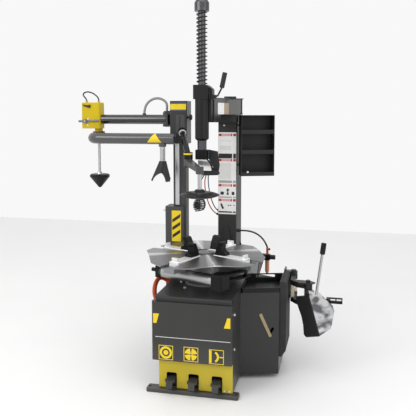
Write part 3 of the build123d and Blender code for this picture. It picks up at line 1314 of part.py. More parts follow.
with BuildPart() as forearm:
    with BuildLine() as fore_path:
        FilletPolyline(
            (elbow_x, elbow_y - 20, FORE_Z),
            (elbow_x, FORE_Y, FORE_Z),
            (FORE_END, FORE_Y, FORE_Z),
            radius=2 * FORE_TUBE_R + 4,
        )
    with BuildSketch(Plane(origin=fore_path.line @ 0, z_dir=fore_path.line % 0)):
        Circle(FORE_TUBE_R)
        Circle(FORE_TUBE_R - TUBE_WALL, mode=Mode.SUBTRACT)
    sweep()
    rod((FORE_END - 12, FORE_Y, FORE_Z), (FORE_END, FORE_Y, FORE_Z), FORE_TUBE_R)
    with Locations((elbow_x, elbow_y, FORE_Z - FORE_TUBE_R - 6)):
        Cylinder(FORE_TUBE_R + 6, 2 * FORE_TUBE_R + 12, align=(Align.CENTER, Align.CENTER, Align.MIN))
    fillet(forearm.faces().sort_by(Axis.X)[-1].edges(), 6)
    # boss over the claw rod
    with Locations((CLAW_ROD_X, FORE_Y, FORE_Z - FORE_TUBE_R - 14)):
        Cylinder(CLAW_ROD_R + 7, FORE_TUBE_R, align=(Align.CENTER, Align.CENTER, Align.MIN))
        Cylinder(CLAW_ROD_R + RUN_FIT, 16, align=(Align.CENTER, Align.CENTER, Align.MIN), mode=Mode.SUBTRACT)
    with Locations((elbow_x, elbow_y, FORE_Z - 20 - PIN_PLAY)):
        Cylinder(ELBOW_PIN_R + RUN_FIT, 80, align=(Align.CENTER, Align.CENTER, Align.MIN), mode=Mode.SUBTRACT)
    with Locations((elbow_x, elbow_y, FORE_Z - FORE_TUBE_R - 6)):
        Cylinder(CONE_ROD_R + RUN_FIT, 14, align=(Align.CENTER, Align.CENTER, Align.MIN), mode=Mode.SUBTRACT)
save(forearm, "forearm")

CONE_ROD_TOP = FORE_Z - FORE_TUBE_R - 6 + 14 - GAP
with BuildPart() as press_cone:
    with BuildSketch(Plane.XZ.offset(-elbow_y)):
        with BuildLine():
            Polyline(
                (elbow_x, CONE_BOTTOM),
                (elbow_x + 8, CONE_BOTTOM),
                (elbow_x + CONE_R, CONE_TOP - 18),
                (elbow_x + CONE_R, CONE_TOP - 6),
                (elbow_x + CONE_R - 8, CONE_TOP),
                (elbow_x + 20, CONE_TOP),
                (elbow_x + 14, CONE_TOP + 14),
                (elbow_x + CONE_ROD_R, CONE_TOP + 14),
                (elbow_x + CONE_ROD_R, CONE_ROD_TOP),
                (elbow_x, CONE_ROD_TOP),
                close=True,
            )
        make_face()
    revolve(axis=Axis((elbow_x, elbow_y, 0), (0, 0, 1)))
save(press_cone, "press_cone")

CLAW_ROD_TOP = FORE_Z - FORE_TUBE_R - 14 + 16 - GAP
with BuildPart() as foot_form:
    # one bladed foot along +X, straight outside and arched inside
    with BuildSketch(Plane.XZ):
        with BuildLine():
            Polyline(
                (6, CLAW_ROD_BOTTOM - 74),
                (6, CLAW_ROD_BOTTOM),
                (20, CLAW_ROD_BOTTOM),
                (CLAW_FOOT_R, CLAW_BOTTOM + 6),
                (CLAW_FOOT_R - 10, CLAW_BOTTOM),
            )
            ThreePointArc(
                (CLAW_FOOT_R - 10, CLAW_BOTTOM),
                (CLAW_FOOT_R - 34, CLAW_BOTTOM + 36),
                (6, CLAW_ROD_BOTTOM - 74),
            )
        make_face()
    extrude(amount=CLAW_FOOT_W / 2, both=True)

with BuildPart() as tri_claw:
    with Locations((CLAW_ROD_X, FORE_Y, CLAW_ROD_BOTTOM - 40)):
        Cylinder(CLAW_ROD_R + 5, 40, align=(Align.CENTER, Align.CENTER, Align.MIN))
    rod((CLAW_ROD_X, FORE_Y, CLAW_ROD_BOTTOM), (CLAW_ROD_X, FORE_Y, CLAW_ROD_TOP), CLAW_ROD_R)
    with Locations((CLAW_ROD_X, FORE_Y, 0)):
        with PolarLocations(0, 3, start_angle=-165):
            add(foot_form.part)
save(tri_claw, "tri_claw")

third_x, third_y, third_z = THIRD_END
with BuildPart() as third_arm:
    rod(THIRD_START, THIRD_END, THIRD_R)
    with Locations(THIRD_END):
        Cylinder(27, 40)
    rod((third_x, third_y, third_z - 62), (third_x, third_y, third_z), 10)
    with Locations((third_x, third_y, third_z - 62)):
        Cylinder(16, 6, align=(Align.CENTER, Align.CENTER, Align.MAX))
    # socket on the carriage's front wall
    socket_axis = Vector(*THIRD_END) - Vector(*THIRD_START)
    socket_end = Vector(*THIRD_START) + socket_axis.normalized() * 26
    rod(THIRD_START, socket_end, THIRD_R + 7)
    add(carriage.part, mode=Mode.SUBTRACT)
    slab((POST_LEFT, POST_LEFT + POST_W + 80), (inner_ys[0] - CARR_WALL, 500), (third_z, CARR_TOP), Mode.SUBTRACT)
save(third_arm, "third_arm")

disc_x, disc_y = DISC_AT
HUB_TOP = third_z - 20 - GAP
HUB_HEIGHT = 40
reach_angle = degrees(atan2(disc_y - third_y, disc_x - third_x))
reach = hypot(disc_x - third_x, disc_y - third_y)
with BuildPart() as disc_arm:
    with Locations((third_x, third_y, HUB_TOP)):
        Cylinder(26, HUB_HEIGHT, align=(Align.CENTER, Align.CENTER, Align.MAX))
    # tapered box from the hub down to the rod's socket
    for distance, size_y, size_z, centre_z in ((0, 44, 34, HUB_TOP - 18), (reach, 30, 24, HUB_TOP - 46)):
        section = Plane(
            origin=(third_x + distance * cos(radians(reach_angle)), third_y + distance * sin(radians(reach_angle)),
                    centre_z),
            x_dir=(-sin(radians(reach_angle)), cos(radians(reach_angle)), 0),
            z_dir=(cos(radians(reach_angle)), sin(radians(reach_angle)), 0),
        )
        with BuildSketch(section):
            Rectangle(size_y, size_z)
    loft()
    with Locations((disc_x, disc_y, HUB_TOP - 66)):
        Cylinder(22, 40, align=(Align.CENTER, Align.CENTER, Align.MIN))
    with Locations((third_x, third_y, third_z - 80)):
        Cylinder(10 + RUN_FIT, 90, align=(Align.CENTER, Align.CENTER, Align.MIN), mode=Mode.SUBTRACT)
    with Locations((disc_x, disc_y, HUB_TOP - 66)):
        Cylinder(DISC_ROD_R + RUN_FIT, 24, align=(Align.CENTER, Align.CENTER, Align.MIN), mode=Mode.SUBTRACT)
save(disc_arm, "disc_arm")

with BuildPart() as lens_disc:
    with BuildSketch(Plane.XZ.offset(-disc_y)):
        with BuildLine():
            disc_mid = (DISC_TOP + DISC_BOTTOM) / 2
            Line((disc_x, DISC_BOTTOM - 8), (disc_x + DISC_HUB_R - 8, DISC_BOTTOM - 8))
            Line((disc_x + DISC_HUB_R - 8, DISC_BOTTOM - 8), (disc_x + DISC_HUB_R, DISC_BOTTOM))
            ThreePointArc(
                (disc_x + DISC_HUB_R, DISC_BOTTOM),
                (disc_x + DISC_R - 34, DISC_BOTTOM + 5),
                (disc_x + DISC_R, disc_mid),
            )
            ThreePointArc(
                (disc_x + DISC_R, disc_mid),
                (disc_x + DISC_R - 34, DISC_TOP - 5),
                (disc_x + DISC_HUB_R, DISC_TOP),
            )
            Polyline(
                (disc_x + DISC_HUB_R, DISC_TOP),
                (disc_x + DISC_HUB_R - 10, DISC_TOP + 12),
                (disc_x + DISC_ROD_R, DISC_TOP + 12),
                (disc_x + DISC_ROD_R, HUB_TOP - 66 + 24 - GAP),
                (disc_x, HUB_TOP - 66 + 24 - GAP),
                (disc_x, DISC_BOTTOM - 8),
            )
        make_face()
    revolve(axis=Axis((disc_x, disc_y, 0), (0, 0, 1)))
save(lens_disc, "lens_disc")

# ======== air unit ========
with BuildPart() as air_unit:
    with BuildSketch(Plane.YZ.offset(AIR_X - BOWL_R - 8 - FIN_T)):
        with BuildLine():
            Polyline(
                (238, WING_TOP),
                (WING_REAR_Y, WING_TOP),
                (AIR_Y + 20, AIR_BODY_TOP - 32),
                (AIR_Y + 20, AIR_BODY_TOP),
                (AIR_Y - 60, AIR_BODY_TOP + 18),
                (AIR_Y - 190, AIR_BODY_TOP + 18),
                (290, WING_TOP + 62),
                (238, WING_TOP + 24),
                close=True,
            )
        make_face()
    extrude(amount=FIN_T)
    # body with a bowl below and a fitting above
    slab((AIR_X - BOWL_R - 8, AIR_X + BOWL_R + 4), (AIR_Y - 18, AIR_Y + 18), (BOWL_TOP, AIR_BODY_TOP))
    with BuildSketch(Plane.XZ.offset(-AIR_Y)):
        with BuildLine():
            Polyline(
                (AIR_X, BOWL_BOTTOM),
                (AIR_X + 5, BOWL_BOTTOM),
                (AIR_X + BOWL_R, BOWL_BOTTOM + 16),
                (AIR_X + BOWL_R, BOWL_TOP),
                (AIR_X, BOWL_TOP),
                close=True,
            )
        make_face()
    revolve(axis=Axis((AIR_X, AIR_Y, 0), (0, 0, 1)))
    rod((AIR_X, AIR_Y, AIR_BODY_TOP), (AIR_X, AIR_Y, AIR_BODY_TOP + 44), 8)
    rod((AIR_X, AIR_Y, AIR_BODY_TOP + 34), (AIR_X + 18, AIR_Y, AIR_BODY_TOP + 34), 7)
    rod((AIR_X + BOWL_R + 4, AIR_Y, KNOB_Z), (AIR_X + BOWL_R + 14, AIR_Y, KNOB_Z), 5)
save(air_unit, "air_unit")

with BuildPart() as regulator_knob:
    knob_start = AIR_X + BOWL_R + 4 + GAP
    rod((knob_start, AIR_Y, KNOB_Z), (knob_start + KNOB_LENGTH, AIR_Y, KNOB_Z), KNOB_R)
    fillet(regulator_knob.faces().sort_by(Axis.X)[-1].edges(), 3)
    with Locations(Plane(origin=(knob_start, AIR_Y, KNOB_Z), z_dir=(1, 0, 0))):
        with PolarLocations(KNOB_R, 10):
            Cylinder(2, KNOB_LENGTH - 8, align=(Align.CENTER, Align.CENTER, Align.MIN), mode=Mode.SUBTRACT)
    rod((knob_start - 1, AIR_Y, KNOB_Z), (knob_start + 11, AIR_Y, KNOB_Z), 5 + RUN_FIT, mode=Mode.SUBTRACT)
save(regulator_knob, "regulator_knob")


# ======== air lines ========
def corner_radii(points):
    """Radius of the arc at each corner of a route, as large as its runs allow."""
    radii = []
    for before, corner, after in zip(points, points[1:], points[2:]):
        first = Vector(*corner) - Vector(*before)
        second = Vector(*after) - Vector(*corner)
        turn = first.get_angle(second)
        radii.append(0.45 * min(first.length, second.length) / tan(radians(turn / 2)))
    return radii


AIR_HOSE = (
    (COL_RIGHT + 26, 540, GLAND_Z),
    (150, 541, 743),
    (186, 540, 739),
    (222, 541, 727),
    (253, 540, 706),
    (276, 541, 678),
    (290, 540, 652),
    (AIR_X, AIR_Y, AIR_BODY_TOP + 44),
)
RED_LINE = (
    (COL_LEFT - 14, 560, 1176),
    (-66, 548, 1168),
    (-87, 524, 1148),
    (-101, 497, 1119),
    (-108, 474, 1083),
    (-106, 462, 1042),
    (-99, 458, 1000),
    (-90, 461, 958),
    (-80, 472, 918),
    (-66, 492, 884),
    (-52, 518, 860),
    (COL_LEFT - 14, 545, 846),
)
TEAL_LINE = (
    (COL_LEFT - 14, 592, 1190),
    (-64, 582, 1184),
    (-82, 562, 1164),
    (-92, 536, 1138),
    (-94, 510, 1104),
    (-90, 494, 1064),
    (-84, 487, 1022),
    (-76, 488, 980),
    (-67, 497, 940),
    (-57, 514, 906),
    (-49, 540, 882),
    (COL_LEFT - 14, 570, 868),
)
COIL_LINE = (
    (COL_LEFT - 14, 624, 1166),
    (-72, 612, 1162),
    (-98, 588, 1150),
    (-120, 558, 1131),
    (-138, 524, 1106),
    (-148, 491, 1074),
    (-150, 464, 1038),
    (-144, 450, 1000),
    (*BUNDLE_AT, BUNDLE_Z[1] - 1),
)
WALL_HOSE = (
    (CAB_LEFT - 16, 46, 508),
    (-236, 42, 520),
    (-258, 28, 540),
    (-272, -2, 548),
    (-280, -34, 538),
    (-284, -62, 508),
    (-280, -78, 470),
    (-264, -84, 434),
    (-240, -84, 408),
    (CAB_LEFT - 16, -82, 396),
)
BOX_LOOP = (
    (BOX_LEFT + 22, 400, BOX_TOP + 10),
    (-893, 399, 1609),
    (-912, 400, 1623),
    (-909, 401, 1641),
    (-882, 400, 1650),
    (-850, 401, 1643),
    (-822, 400, 1626),
    (-804, 399, 1608),
    (BOX_RIGHT - 22, 400, BOX_TOP + 10),
)
ARM_LOOP = (
    (-491, 400, UPPER_Z + ARM_TUBE_R + 7),
    (-488, 400, 1536),
    (-477, 402, 1566),
    (-453, 402, 1590),
    (-420, 400, 1604),
    (-384, 399, 1604),
    (-353, 400, 1589),
    (-336, 401, 1564),
    (shoulder_x, shoulder_y, FORK_Z[1] + 20 + 2 * GAP),
)
for hose_label, route, hose_r in (
    ("air_hose", AIR_HOSE, LINE_R + 1),
    ("red_line", RED_LINE, LINE_R - 1),
    ("teal_line", TEAL_LINE, LINE_R - 1),
    ("coil_line", COIL_LINE, LINE_R - 1),
    ("wall_hose", WALL_HOSE, LARGE_LINE_R),
    ("box_loop_hose", BOX_LOOP, LINE_R),
    ("arm_loop_hose", ARM_LOOP, ARM_HOSE_R),
):
    with BuildPart() as hose:
        with BuildLine() as hose_path:
            FilletPolyline(*route, radius=corner_radii(route))
        with BuildSketch(Plane(origin=hose_path.line @ 0, z_dir=hose_path.line % 0)):
            Circle(hose_r)
        sweep()
    run_length = sum(edge.length for edge in hose_path.edges())
    print(hose_label, round(run_length), "mm, by volume", round(hose.part.volume / (pi * hose_r**2)), "radii",
          [round(radius) for radius in corner_radii(route)])
    save(hose, hose_label)

with BuildPart() as hose_bundle:
    # outer shape of the wound part of the coiled line, hanging on end
    with BuildSketch(Plane.XY.offset(BUNDLE_Z[0])):
        with Locations(BUNDLE_AT):
            Circle(BUNDLE_R)
    extrude(amount=BUNDLE_Z[1] - BUNDLE_Z[0])
    chamfer(hose_bundle.edges().filter_by(GeomType.CIRCLE), 12)
save(hose_bundle, "hose_bundle")

# glands on the column's sides and on the cabinet's left wall, pads under the arm's hose
with BuildPart() as glands:
    rod((COL_RIGHT, 540, GLAND_Z), (COL_RIGHT + 26, 540, GLAND_Z), 11)
    for line_route in (RED_LINE, TEAL_LINE, COIL_LINE):
        gland_r = TWIN_GLAND_R if line_route is COIL_LINE else LINE_GLAND_R
        for end in (line_route[0], line_route[-1]):
            if end[0] == COL_LEFT - 14:
                rod((COL_LEFT, *end[1:]), end, gland_r)
    for end in (WALL_HOSE[0], WALL_HOSE[-1]):
        rod((CAB_LEFT, *end[1:]), end, LARGE_GLAND_R)
save(glands, "glands")
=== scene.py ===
import math

import bmesh
import bpy
from bpy.props import FloatProperty, FloatVectorProperty, IntProperty, PointerProperty
from mathutils import Matrix, Vector


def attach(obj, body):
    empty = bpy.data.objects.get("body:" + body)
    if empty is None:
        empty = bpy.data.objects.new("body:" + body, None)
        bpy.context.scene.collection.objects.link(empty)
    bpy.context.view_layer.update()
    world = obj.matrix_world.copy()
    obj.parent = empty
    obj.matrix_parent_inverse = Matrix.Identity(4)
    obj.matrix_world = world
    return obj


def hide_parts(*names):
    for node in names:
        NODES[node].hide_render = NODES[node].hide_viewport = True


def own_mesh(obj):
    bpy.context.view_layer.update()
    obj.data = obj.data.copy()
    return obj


bl_info = {
    "name": "Tyre changer dresser",
    "version": (1, 0, 0),
    "blender": (4, 5, 0),
    "location": "View3D > Sidebar > Workshop",
    "description": "Dresses the packed tyre changer with pieces, finishes, stage and camera",
    "category": "Object",
}

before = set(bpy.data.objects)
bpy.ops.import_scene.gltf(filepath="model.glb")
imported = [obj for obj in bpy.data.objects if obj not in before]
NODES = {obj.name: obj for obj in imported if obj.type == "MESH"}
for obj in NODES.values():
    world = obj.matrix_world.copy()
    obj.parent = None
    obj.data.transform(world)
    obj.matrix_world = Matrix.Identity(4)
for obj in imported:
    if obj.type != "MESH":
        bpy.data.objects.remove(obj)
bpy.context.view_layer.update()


# -------- shader maths
# places of the colour sockets among those of a mix node
MIX_COLOURS = (6, 7)
MIX_RESULT = 2


def operation(kind, flipped=False):
    """An arithmetic method of Value that adds one math node."""
    def method(self, other):
        return self.math(kind, other, self) if flipped else self.math(kind, self, other)
    return method


class Value:
    """A shader socket that takes part in Python arithmetic."""

    __add__, __radd__ = operation("ADD"), operation("ADD", True)
    __sub__, __rsub__ = operation("SUBTRACT"), operation("SUBTRACT", True)
    __mul__, __rmul__ = operation("MULTIPLY"), operation("MULTIPLY", True)
    __truediv__, __rtruediv__ = operation("DIVIDE"), operation("DIVIDE", True)
    __gt__, __lt__ = operation("GREATER_THAN"), operation("LESS_THAN")

    def __init__(self, finish, socket):
        self.finish = finish
        self.socket = socket

    def math(self, kind, first, second):
        """A math node on two inputs."""
        made = self.finish.node("ShaderNodeMath", [first, second], operation=kind)
        return Value(self.finish, made.outputs[0])

    def clamped(self, low, high):
        """This value held between two limits."""
        return self.math("MINIMUM", self.math("MAXIMUM", self, low), high)


class Finish:
    """A material in the making: one method adds every node."""

    def __init__(self, name):
        self.material = bpy.data.materials.new(name)
        self.material.use_nodes = True
        self.tree = self.material.node_tree
        self.tree.nodes.clear()
        self.shader = self.node("ShaderNodeBsdfPrincipled")
        self.node("ShaderNodeOutputMaterial", {"Surface": self.shader.outputs[0]})
        self.place = self.node("ShaderNodeTexCoord").outputs["Object"]

    def node(self, kind, values=(), **settings):
        """Add a node, set it up, then fill or link its sockets."""
        made = self.tree.nodes.new(kind)
        for key, setting in settings.items():
            setattr(made, key, setting)
        pairs = values.items() if isinstance(values, dict) else enumerate(values)
        for key, value in pairs:
            self.feed(made.inputs[key], value)
        return made

    def feed(self, socket, value):
        """Link a socket to another one, or set its number or colour."""
        if isinstance(value, Value):
            value = value.socket
        if isinstance(value, bpy.types.NodeSocket):
            self.tree.links.new(value, socket)
        else:
            socket.default_value = value

    def noise(self, scale, detail=3.0, stretch=(1.0, 1.0, 1.0), rough=0.55):
        """Noise on the object's own coordinates, stretched along its axes."""
        mapping = self.node("ShaderNodeMapping", {"Vector": self.place, "Scale": stretch})
        sockets = {"Vector": mapping.outputs[0], "Scale": scale, "Detail": detail, "Roughness": rough}
        return Value(self, self.node("ShaderNodeTexNoise", sockets).outputs[0])

    def axis(self, name):
        """One coordinate of the surface, in metres."""
        return Value(self, self.node("ShaderNodeSeparateXYZ", [self.place]).outputs[name])

    def blend(self, amount, first, second):
        """Mix two colours by a value."""
        made = self.node("ShaderNodeMix", {"Factor": amount}, data_type="RGBA")
        for index, colour in zip(MIX_COLOURS, (first, second)):
            is_socket = isinstance(colour, bpy.types.NodeSocket)
            self.feed(made.inputs[index], colour if is_socket else (*colour, 1.0))
        return made.outputs[MIX_RESULT]

    def bump(self, height, strength, distance):
        """Feed a height into the normal."""
        made = self.node("ShaderNodeBump", {"Height": height, "Strength": strength, "Distance": distance})
        self.feed(self.shader.inputs["Normal"], made.outputs[0])

    def surface(self, **sockets):
        """Set sockets of the main shader by name, with spaces written as underscores."""
        for key, value in sockets.items():
            self.feed(self.shader.inputs[key.replace("_", " ")], value)
        return self.material


def shade(colour, factor):
    """A lighter or darker copy of a colour."""
    return tuple(min(1.0, channel * factor) for channel in colour)


# -------- finishes
DUST = (0.30, 0.29, 0.27)
DUST_TOP = 0.30
DUST_MOST = 0.12


def powder_coat(name, colour, roughness=0.38, coat=0.15):
    """Baked powder paint: orange peel, cloudy tone and dust towards the floor."""
    finish = Finish(name)
    cloud = finish.noise(5.0)
    peel = finish.noise(900.0, detail=2.0)
    dust = (DUST_TOP - height(finish)).clamped(0.0, DUST_MOST) * cloud
    base = finish.blend(cloud, shade(colour, 0.86), shade(colour, 1.16))
    finish.bump(peel, 0.12, 0.0003)
    return finish.surface(
        Base_Color=finish.blend(dust, base, DUST),
        Roughness=(cloud * 0.14 + (roughness - 0.07)).clamped(0.05, 0.9),
        Coat_Weight=coat,
        Coat_Roughness=0.2,
        Specular_IOR_Level=0.3,
    )


def gloss_paint(name, colour, roughness, coat):
    """Smooth stove enamel with a clear top and faint waves."""
    finish = Finish(name)
    cloud = finish.noise(4.0)
    peel = finish.noise(260.0, detail=1.0)
    finish.bump(peel, 0.03, 0.0002)
    return finish.surface(
        Base_Color=finish.blend(cloud, shade(colour, 0.9), shade(colour, 1.1)),
        Roughness=cloud * 0.12 + roughness,
        Coat_Weight=coat,
        Coat_Roughness=0.08,
    )


def brushed_metal(name, colour, stretch, roughness):
    """Metal with fine scratches along one direction and faint smears."""
    finish = Finish(name)
    lines = finish.noise(60.0, detail=4.0, stretch=stretch, rough=0.7)
    smear = finish.noise(7.0, detail=2.0)
    tone = (lines * 0.7 + smear * 0.3).clamped(0.0, 1.0)
    finish.bump(lines, 0.08, 0.0002)
    return finish.surface(
        Base_Color=finish.blend(tone, shade(colour, 0.9), shade(colour, 1.1)),
        Metallic=1.0,
        Roughness=(lines * 0.16 + smear * 0.12 + (roughness - 0.12)).clamped(0.04, 0.8),
    )


def cast_metal(name, colour):
    """Cast iron under thin paint: pitted and dull."""
    finish = Finish(name)
    grain = finish.noise(210.0, detail=4.0)
    cloud = finish.noise(9.0)
    finish.bump(grain, 0.35, 0.0006)
    return finish.surface(
        Base_Color=finish.blend(grain * cloud * 2.0, shade(colour, 0.75), shade(colour, 1.3)),
        Metallic=0.55,
        Roughness=grain * 0.25 + 0.4,
    )


def moulded_plastic(name, colour=(0.022, 0.022, 0.024), roughness=0.42, grain=700.0):
    """Moulded plastic with a fine leathered grain."""
    finish = Finish(name)
    leather = finish.noise(grain, detail=2.0)
    cloud = finish.noise(8.0)
    finish.bump(leather, 0.2, 0.0004)
    return finish.surface(
        Base_Color=finish.blend(cloud, shade(colour, 0.8), shade(colour, 1.35)),
        Roughness=leather * 0.14 + cloud * 0.1 + (roughness - 0.1),
        Specular_IOR_Level=0.22,
    )


def soft_rubber(name, colour=(0.016, 0.016, 0.017)):
    """Dull rubber with a dusty bloom."""
    finish = Finish(name)
    bloom = finish.noise(26.0, detail=5.0)
    grit = finish.noise(1200.0, detail=1.0)
    finish.bump(grit, 0.25, 0.0003)
    return finish.surface(
        Base_Color=finish.blend(bloom * bloom, colour, shade(colour, 3.2)),
        Roughness=bloom * 0.2 + 0.58,
        Specular_IOR_Level=0.35,
    )


def printed_film(name, colour):
    """Printed adhesive film: nearly even colour with slight mottling."""
    finish = Finish(name)
    mottle = finish.noise(34.0, detail=2.0)
    peel = finish.noise(420.0, detail=1.0)
    finish.bump(peel, 0.04, 0.0003)
    return finish.surface(
        Base_Color=finish.blend(mottle, shade(colour, 0.93), shade(colour, 1.05)),
        Roughness=mottle * 0.1 + 0.3,
    )


def zoned(name, base, *zones, coat=0.0, ripple=0.0):
    """A finish with zones: each zone's mask lays its own paint, metal or painted highlight over the base.
    """
    finish = Finish(name)
    grain = finish.noise(380.0, detail=3.0)
    cloud = finish.noise(7.0)

    def tone_of(colour):
        return finish.blend(cloud, shade(colour, 0.85), shade(colour, 1.15))

    colour, metal, rough = base
    tone = tone_of(colour)
    for mask_of, colour, zone_metal, zone_rough in zones:
        mask = mask_of(finish)
        tone = finish.blend(mask, tone, tone_of(colour))
        metal = mask * (zone_metal - metal) + metal
        rough = mask * (zone_rough - rough) + rough
    waves = finish.noise(24.0, detail=1.0)
    finish.bump(waves * ripple + grain, 0.12, 0.0003)
    return finish.surface(
        Base_Color=tone,
        Metallic=metal,
        Roughness=grain * 0.1 + rough - 0.05,
        Coat_Weight=coat,
        Specular_IOR_Level=0.25,
    )


# -------- making pieces
FILM_RIM = 0.0001
WELD = 0.00001
FINISHES = {}


def link_object(name, data):
    """A new object in the scene."""
    made = bpy.data.objects.new(name, data)
    bpy.context.scene.collection.objects.link(made)
    return made


def facing(point, direction, spin=0.0):
    """A seat at a point whose Z axis looks along a direction."""
    turn = Vector(direction).to_track_quat("Z", "Y").to_matrix().to_4x4()
    return Matrix.Translation(point) @ turn @ Matrix.Rotation(spin, 4, "Z")


class Piece:
    """One visual piece: bmesh operators fill it, finish_off hands it to the frame."""

    def __init__(self, name):
        self.name = name
        self.mesh = bmesh.new()
        self.slots = []
        self.current = 0

    def paint(self, material):
        """Faces made from here on take this material."""
        if material not in self.slots:
            self.slots.append(material)
        self.current = self.slots.index(material)
        return self

    def colour(self, verts, smooth=False):
        """Give the faces of new vertices the current material."""
        for face in {face for vert in verts for face in vert.link_faces}:
            face.material_index = self.current
            face.smooth = smooth

    def prism(self, outline, seat, thickness, rim, rows=2):
        """An outline in the XY plane of a seat, pushed along its Z, with its far rim rounded."""
        ring = [self.mesh.verts.new(seat @ Vector((x, y, 0.0))) for x, y in outline]
        made = bmesh.ops.extrude_face_region(self.mesh, geom=[self.mesh.faces.new(ring)])["geom"]
        top = [item for item in made if isinstance(item, bmesh.types.BMVert)]
        bmesh.ops.translate(self.mesh, vec=seat.to_3x3() @ Vector((0.0, 0.0, thickness)), verts=top)
        faces = list({face for vert in ring + top for face in vert.link_faces})
        bmesh.ops.recalc_face_normals(self.mesh, faces=faces)
        edges = [
            edge for edge in {edge for vert in top for edge in vert.link_edges}
            if all(vert in top for vert in edge.verts)]
        made = bmesh.ops.bevel(
            self.mesh, geom=edges, offset=rim, offset_type="OFFSET", affect="EDGES", segments=rows,
            profile=0.5, material=-1)
        self.colour(ring + [vert for face in made["faces"] for vert in face.verts])

    def films(self, finish, seat, thickness, *outlines, rim=FILM_RIM):
        """Thin flat outlines of one finish, their rims barely rounded."""
        self.paint(FINISHES[finish])
        for outline in outlines:
            self.prism(outline, seat, thickness, rim, 1)
        return self

    def lathe(self, profile, seat, steps, smooth=True):
        """Radius and height pairs spun about the Z axis of a seat; a radius of 0 is a tip."""
        old = set(self.mesh.verts)
        line = [self.mesh.verts.new(seat @ Vector((radius, 0.0, level))) for radius, level in profile]
        edges = [self.mesh.edges.new(pair) for pair in zip(line, line[1:])]
        bmesh.ops.spin(
            self.mesh, geom=line + edges, cent=seat.translation, axis=seat.col[2].xyz, angle=math.tau,
            steps=steps, use_merge=True)
        verts = [vert for vert in self.mesh.verts if vert not in old]
        bmesh.ops.remove_doubles(self.mesh, verts=verts, dist=WELD)
        self.colour([vert for vert in self.mesh.verts if vert not in old], smooth)

    def sweep(self, section, centre, axis, angle, steps, rise=0.0):
        """Spin a closed section about an axis, climbing along it."""
        edges = list({edge for vert in section for edge in vert.link_edges})
        bmesh.ops.spin(
            self.mesh, geom=section + edges, cent=centre, axis=axis, dvec=Vector(axis) * rise / steps,
            angle=angle, steps=steps)

    def close(self, sides):
        """Weld what was swept, fill its open ends and colour all of it."""
        bmesh.ops.remove_doubles(self.mesh, verts=self.mesh.verts[:], dist=WELD)
        bmesh.ops.holes_fill(self.mesh, edges=self.mesh.edges[:], sides=sides)
        self.colour(self.mesh.verts, True)

    def finish_off(self, body, slot, sharp_from=None):
        """Turn the bmesh into an object that rides on a body."""
        bmesh.ops.recalc_face_normals(self.mesh, faces=self.mesh.faces[:])
        data = bpy.data.meshes.new(self.name)
        self.mesh.to_mesh(data)
        self.mesh.free()
        for material in self.slots:
            data.materials.append(material)
        if sharp_from is not None:
            data.set_sharp_from_angle(angle=math.radians(sharp_from))
        made = link_object(self.name, data)
        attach(made, body)
        return made


def smooth_curve(name, points, radius, material):
    """A cord: one open NURBS spline with a round section."""
    data = bpy.data.curves.new(name, "CURVE")
    data.dimensions = "3D"
    data.bevel_depth = radius
    data.bevel_resolution = 4
    data.resolution_u = 6
    data.render_resolution_u = 6
    spline = data.splines.new("NURBS")
    spline.points.add(len(points) - 1)
    for point, place in zip(spline.points, points):
        point.co = (*place, 1.0)
    spline.order_u = 3
    spline.use_endpoint_u = True
    data.materials.append(material)
    return link_object(name, data)


# -------- masks
def along(axis):
    """A value that grows along one axis of the model."""
    return lambda finish: finish.axis(axis)


across, depth, height = along("X"), along("Y"), along("Z")


def span(value_of, low=None, high=None):
    """A mask that is 1 where a value lies between two limits."""
    def mask(finish):
        value = value_of(finish)
        if low is None:
            return value < high
        if high is None:
            return value > low
        return (value > low) * (value < high)
    return mask


def round_axis(x, y, radius):
    """A mask that is 1 within a radius of an upright axis."""
    def mask(finish):
        off_x, off_y = across(finish) - x, depth(finish) - y
        return off_x * off_x + off_y * off_y < radius * radius
    return mask


def both(first, second):
    """A mask that is 1 where two masks are."""
    return lambda finish: first(finish) * second(finish)


SPINE_X, SPINE_TOP, SPINE_SLOPE = 0.596, 0.478, 0.277
CYLINDER_COS, CYLINDER_SIN = 0.9239, 0.3827
WING_X, WING_Y, WING_OFF = 0.2848, 0.9585, 0.11825


def past_spine(finish):
    """Distance right of the blade's spine, where its polished page begins."""
    return across(finish) - (SPINE_TOP - height(finish)) * SPINE_SLOPE - SPINE_X


def along_cylinder(finish):
    """Distance along a clamp cylinder's own turned axis, positive towards its end block."""
    x, y = across(finish), depth(finish)
    side = (x * CYLINDER_SIN + y * CYLINDER_COS < 0.0) * 2.0 - 1.0
    return (x * CYLINDER_COS - y * CYLINDER_SIN) * side


def off_wing(finish):
    """Distance in front of the wing's slanted face."""
    return across(finish) * WING_X - depth(finish) * WING_Y - WING_OFF


def crease_wave(finish):
    """1 on the petals' creases, four directions a quarter turn apart, and less beside them."""
    x, y = across(finish), depth(finish)
    square = x * x + y * y
    return (x * x - y * y) * (x * y) * 4.0 / (square * square)


def crease_painted_highlight(finish):
    """Painted highlight: a soft bright band that fades to both sides of each crease of the petals."""
    return ((crease_wave(finish) - 0.84) * 5.0).clamped(0.0, 0.8)


def smears(finish):
    """Soft dark clouds of a worn polish."""
    cloud = finish.noise(15.0, detail=1.5, stretch=(1.0, 1.0, 1.5))
    return ((cloud - 0.40) * 5.0).clamped(0.0, 1.0)
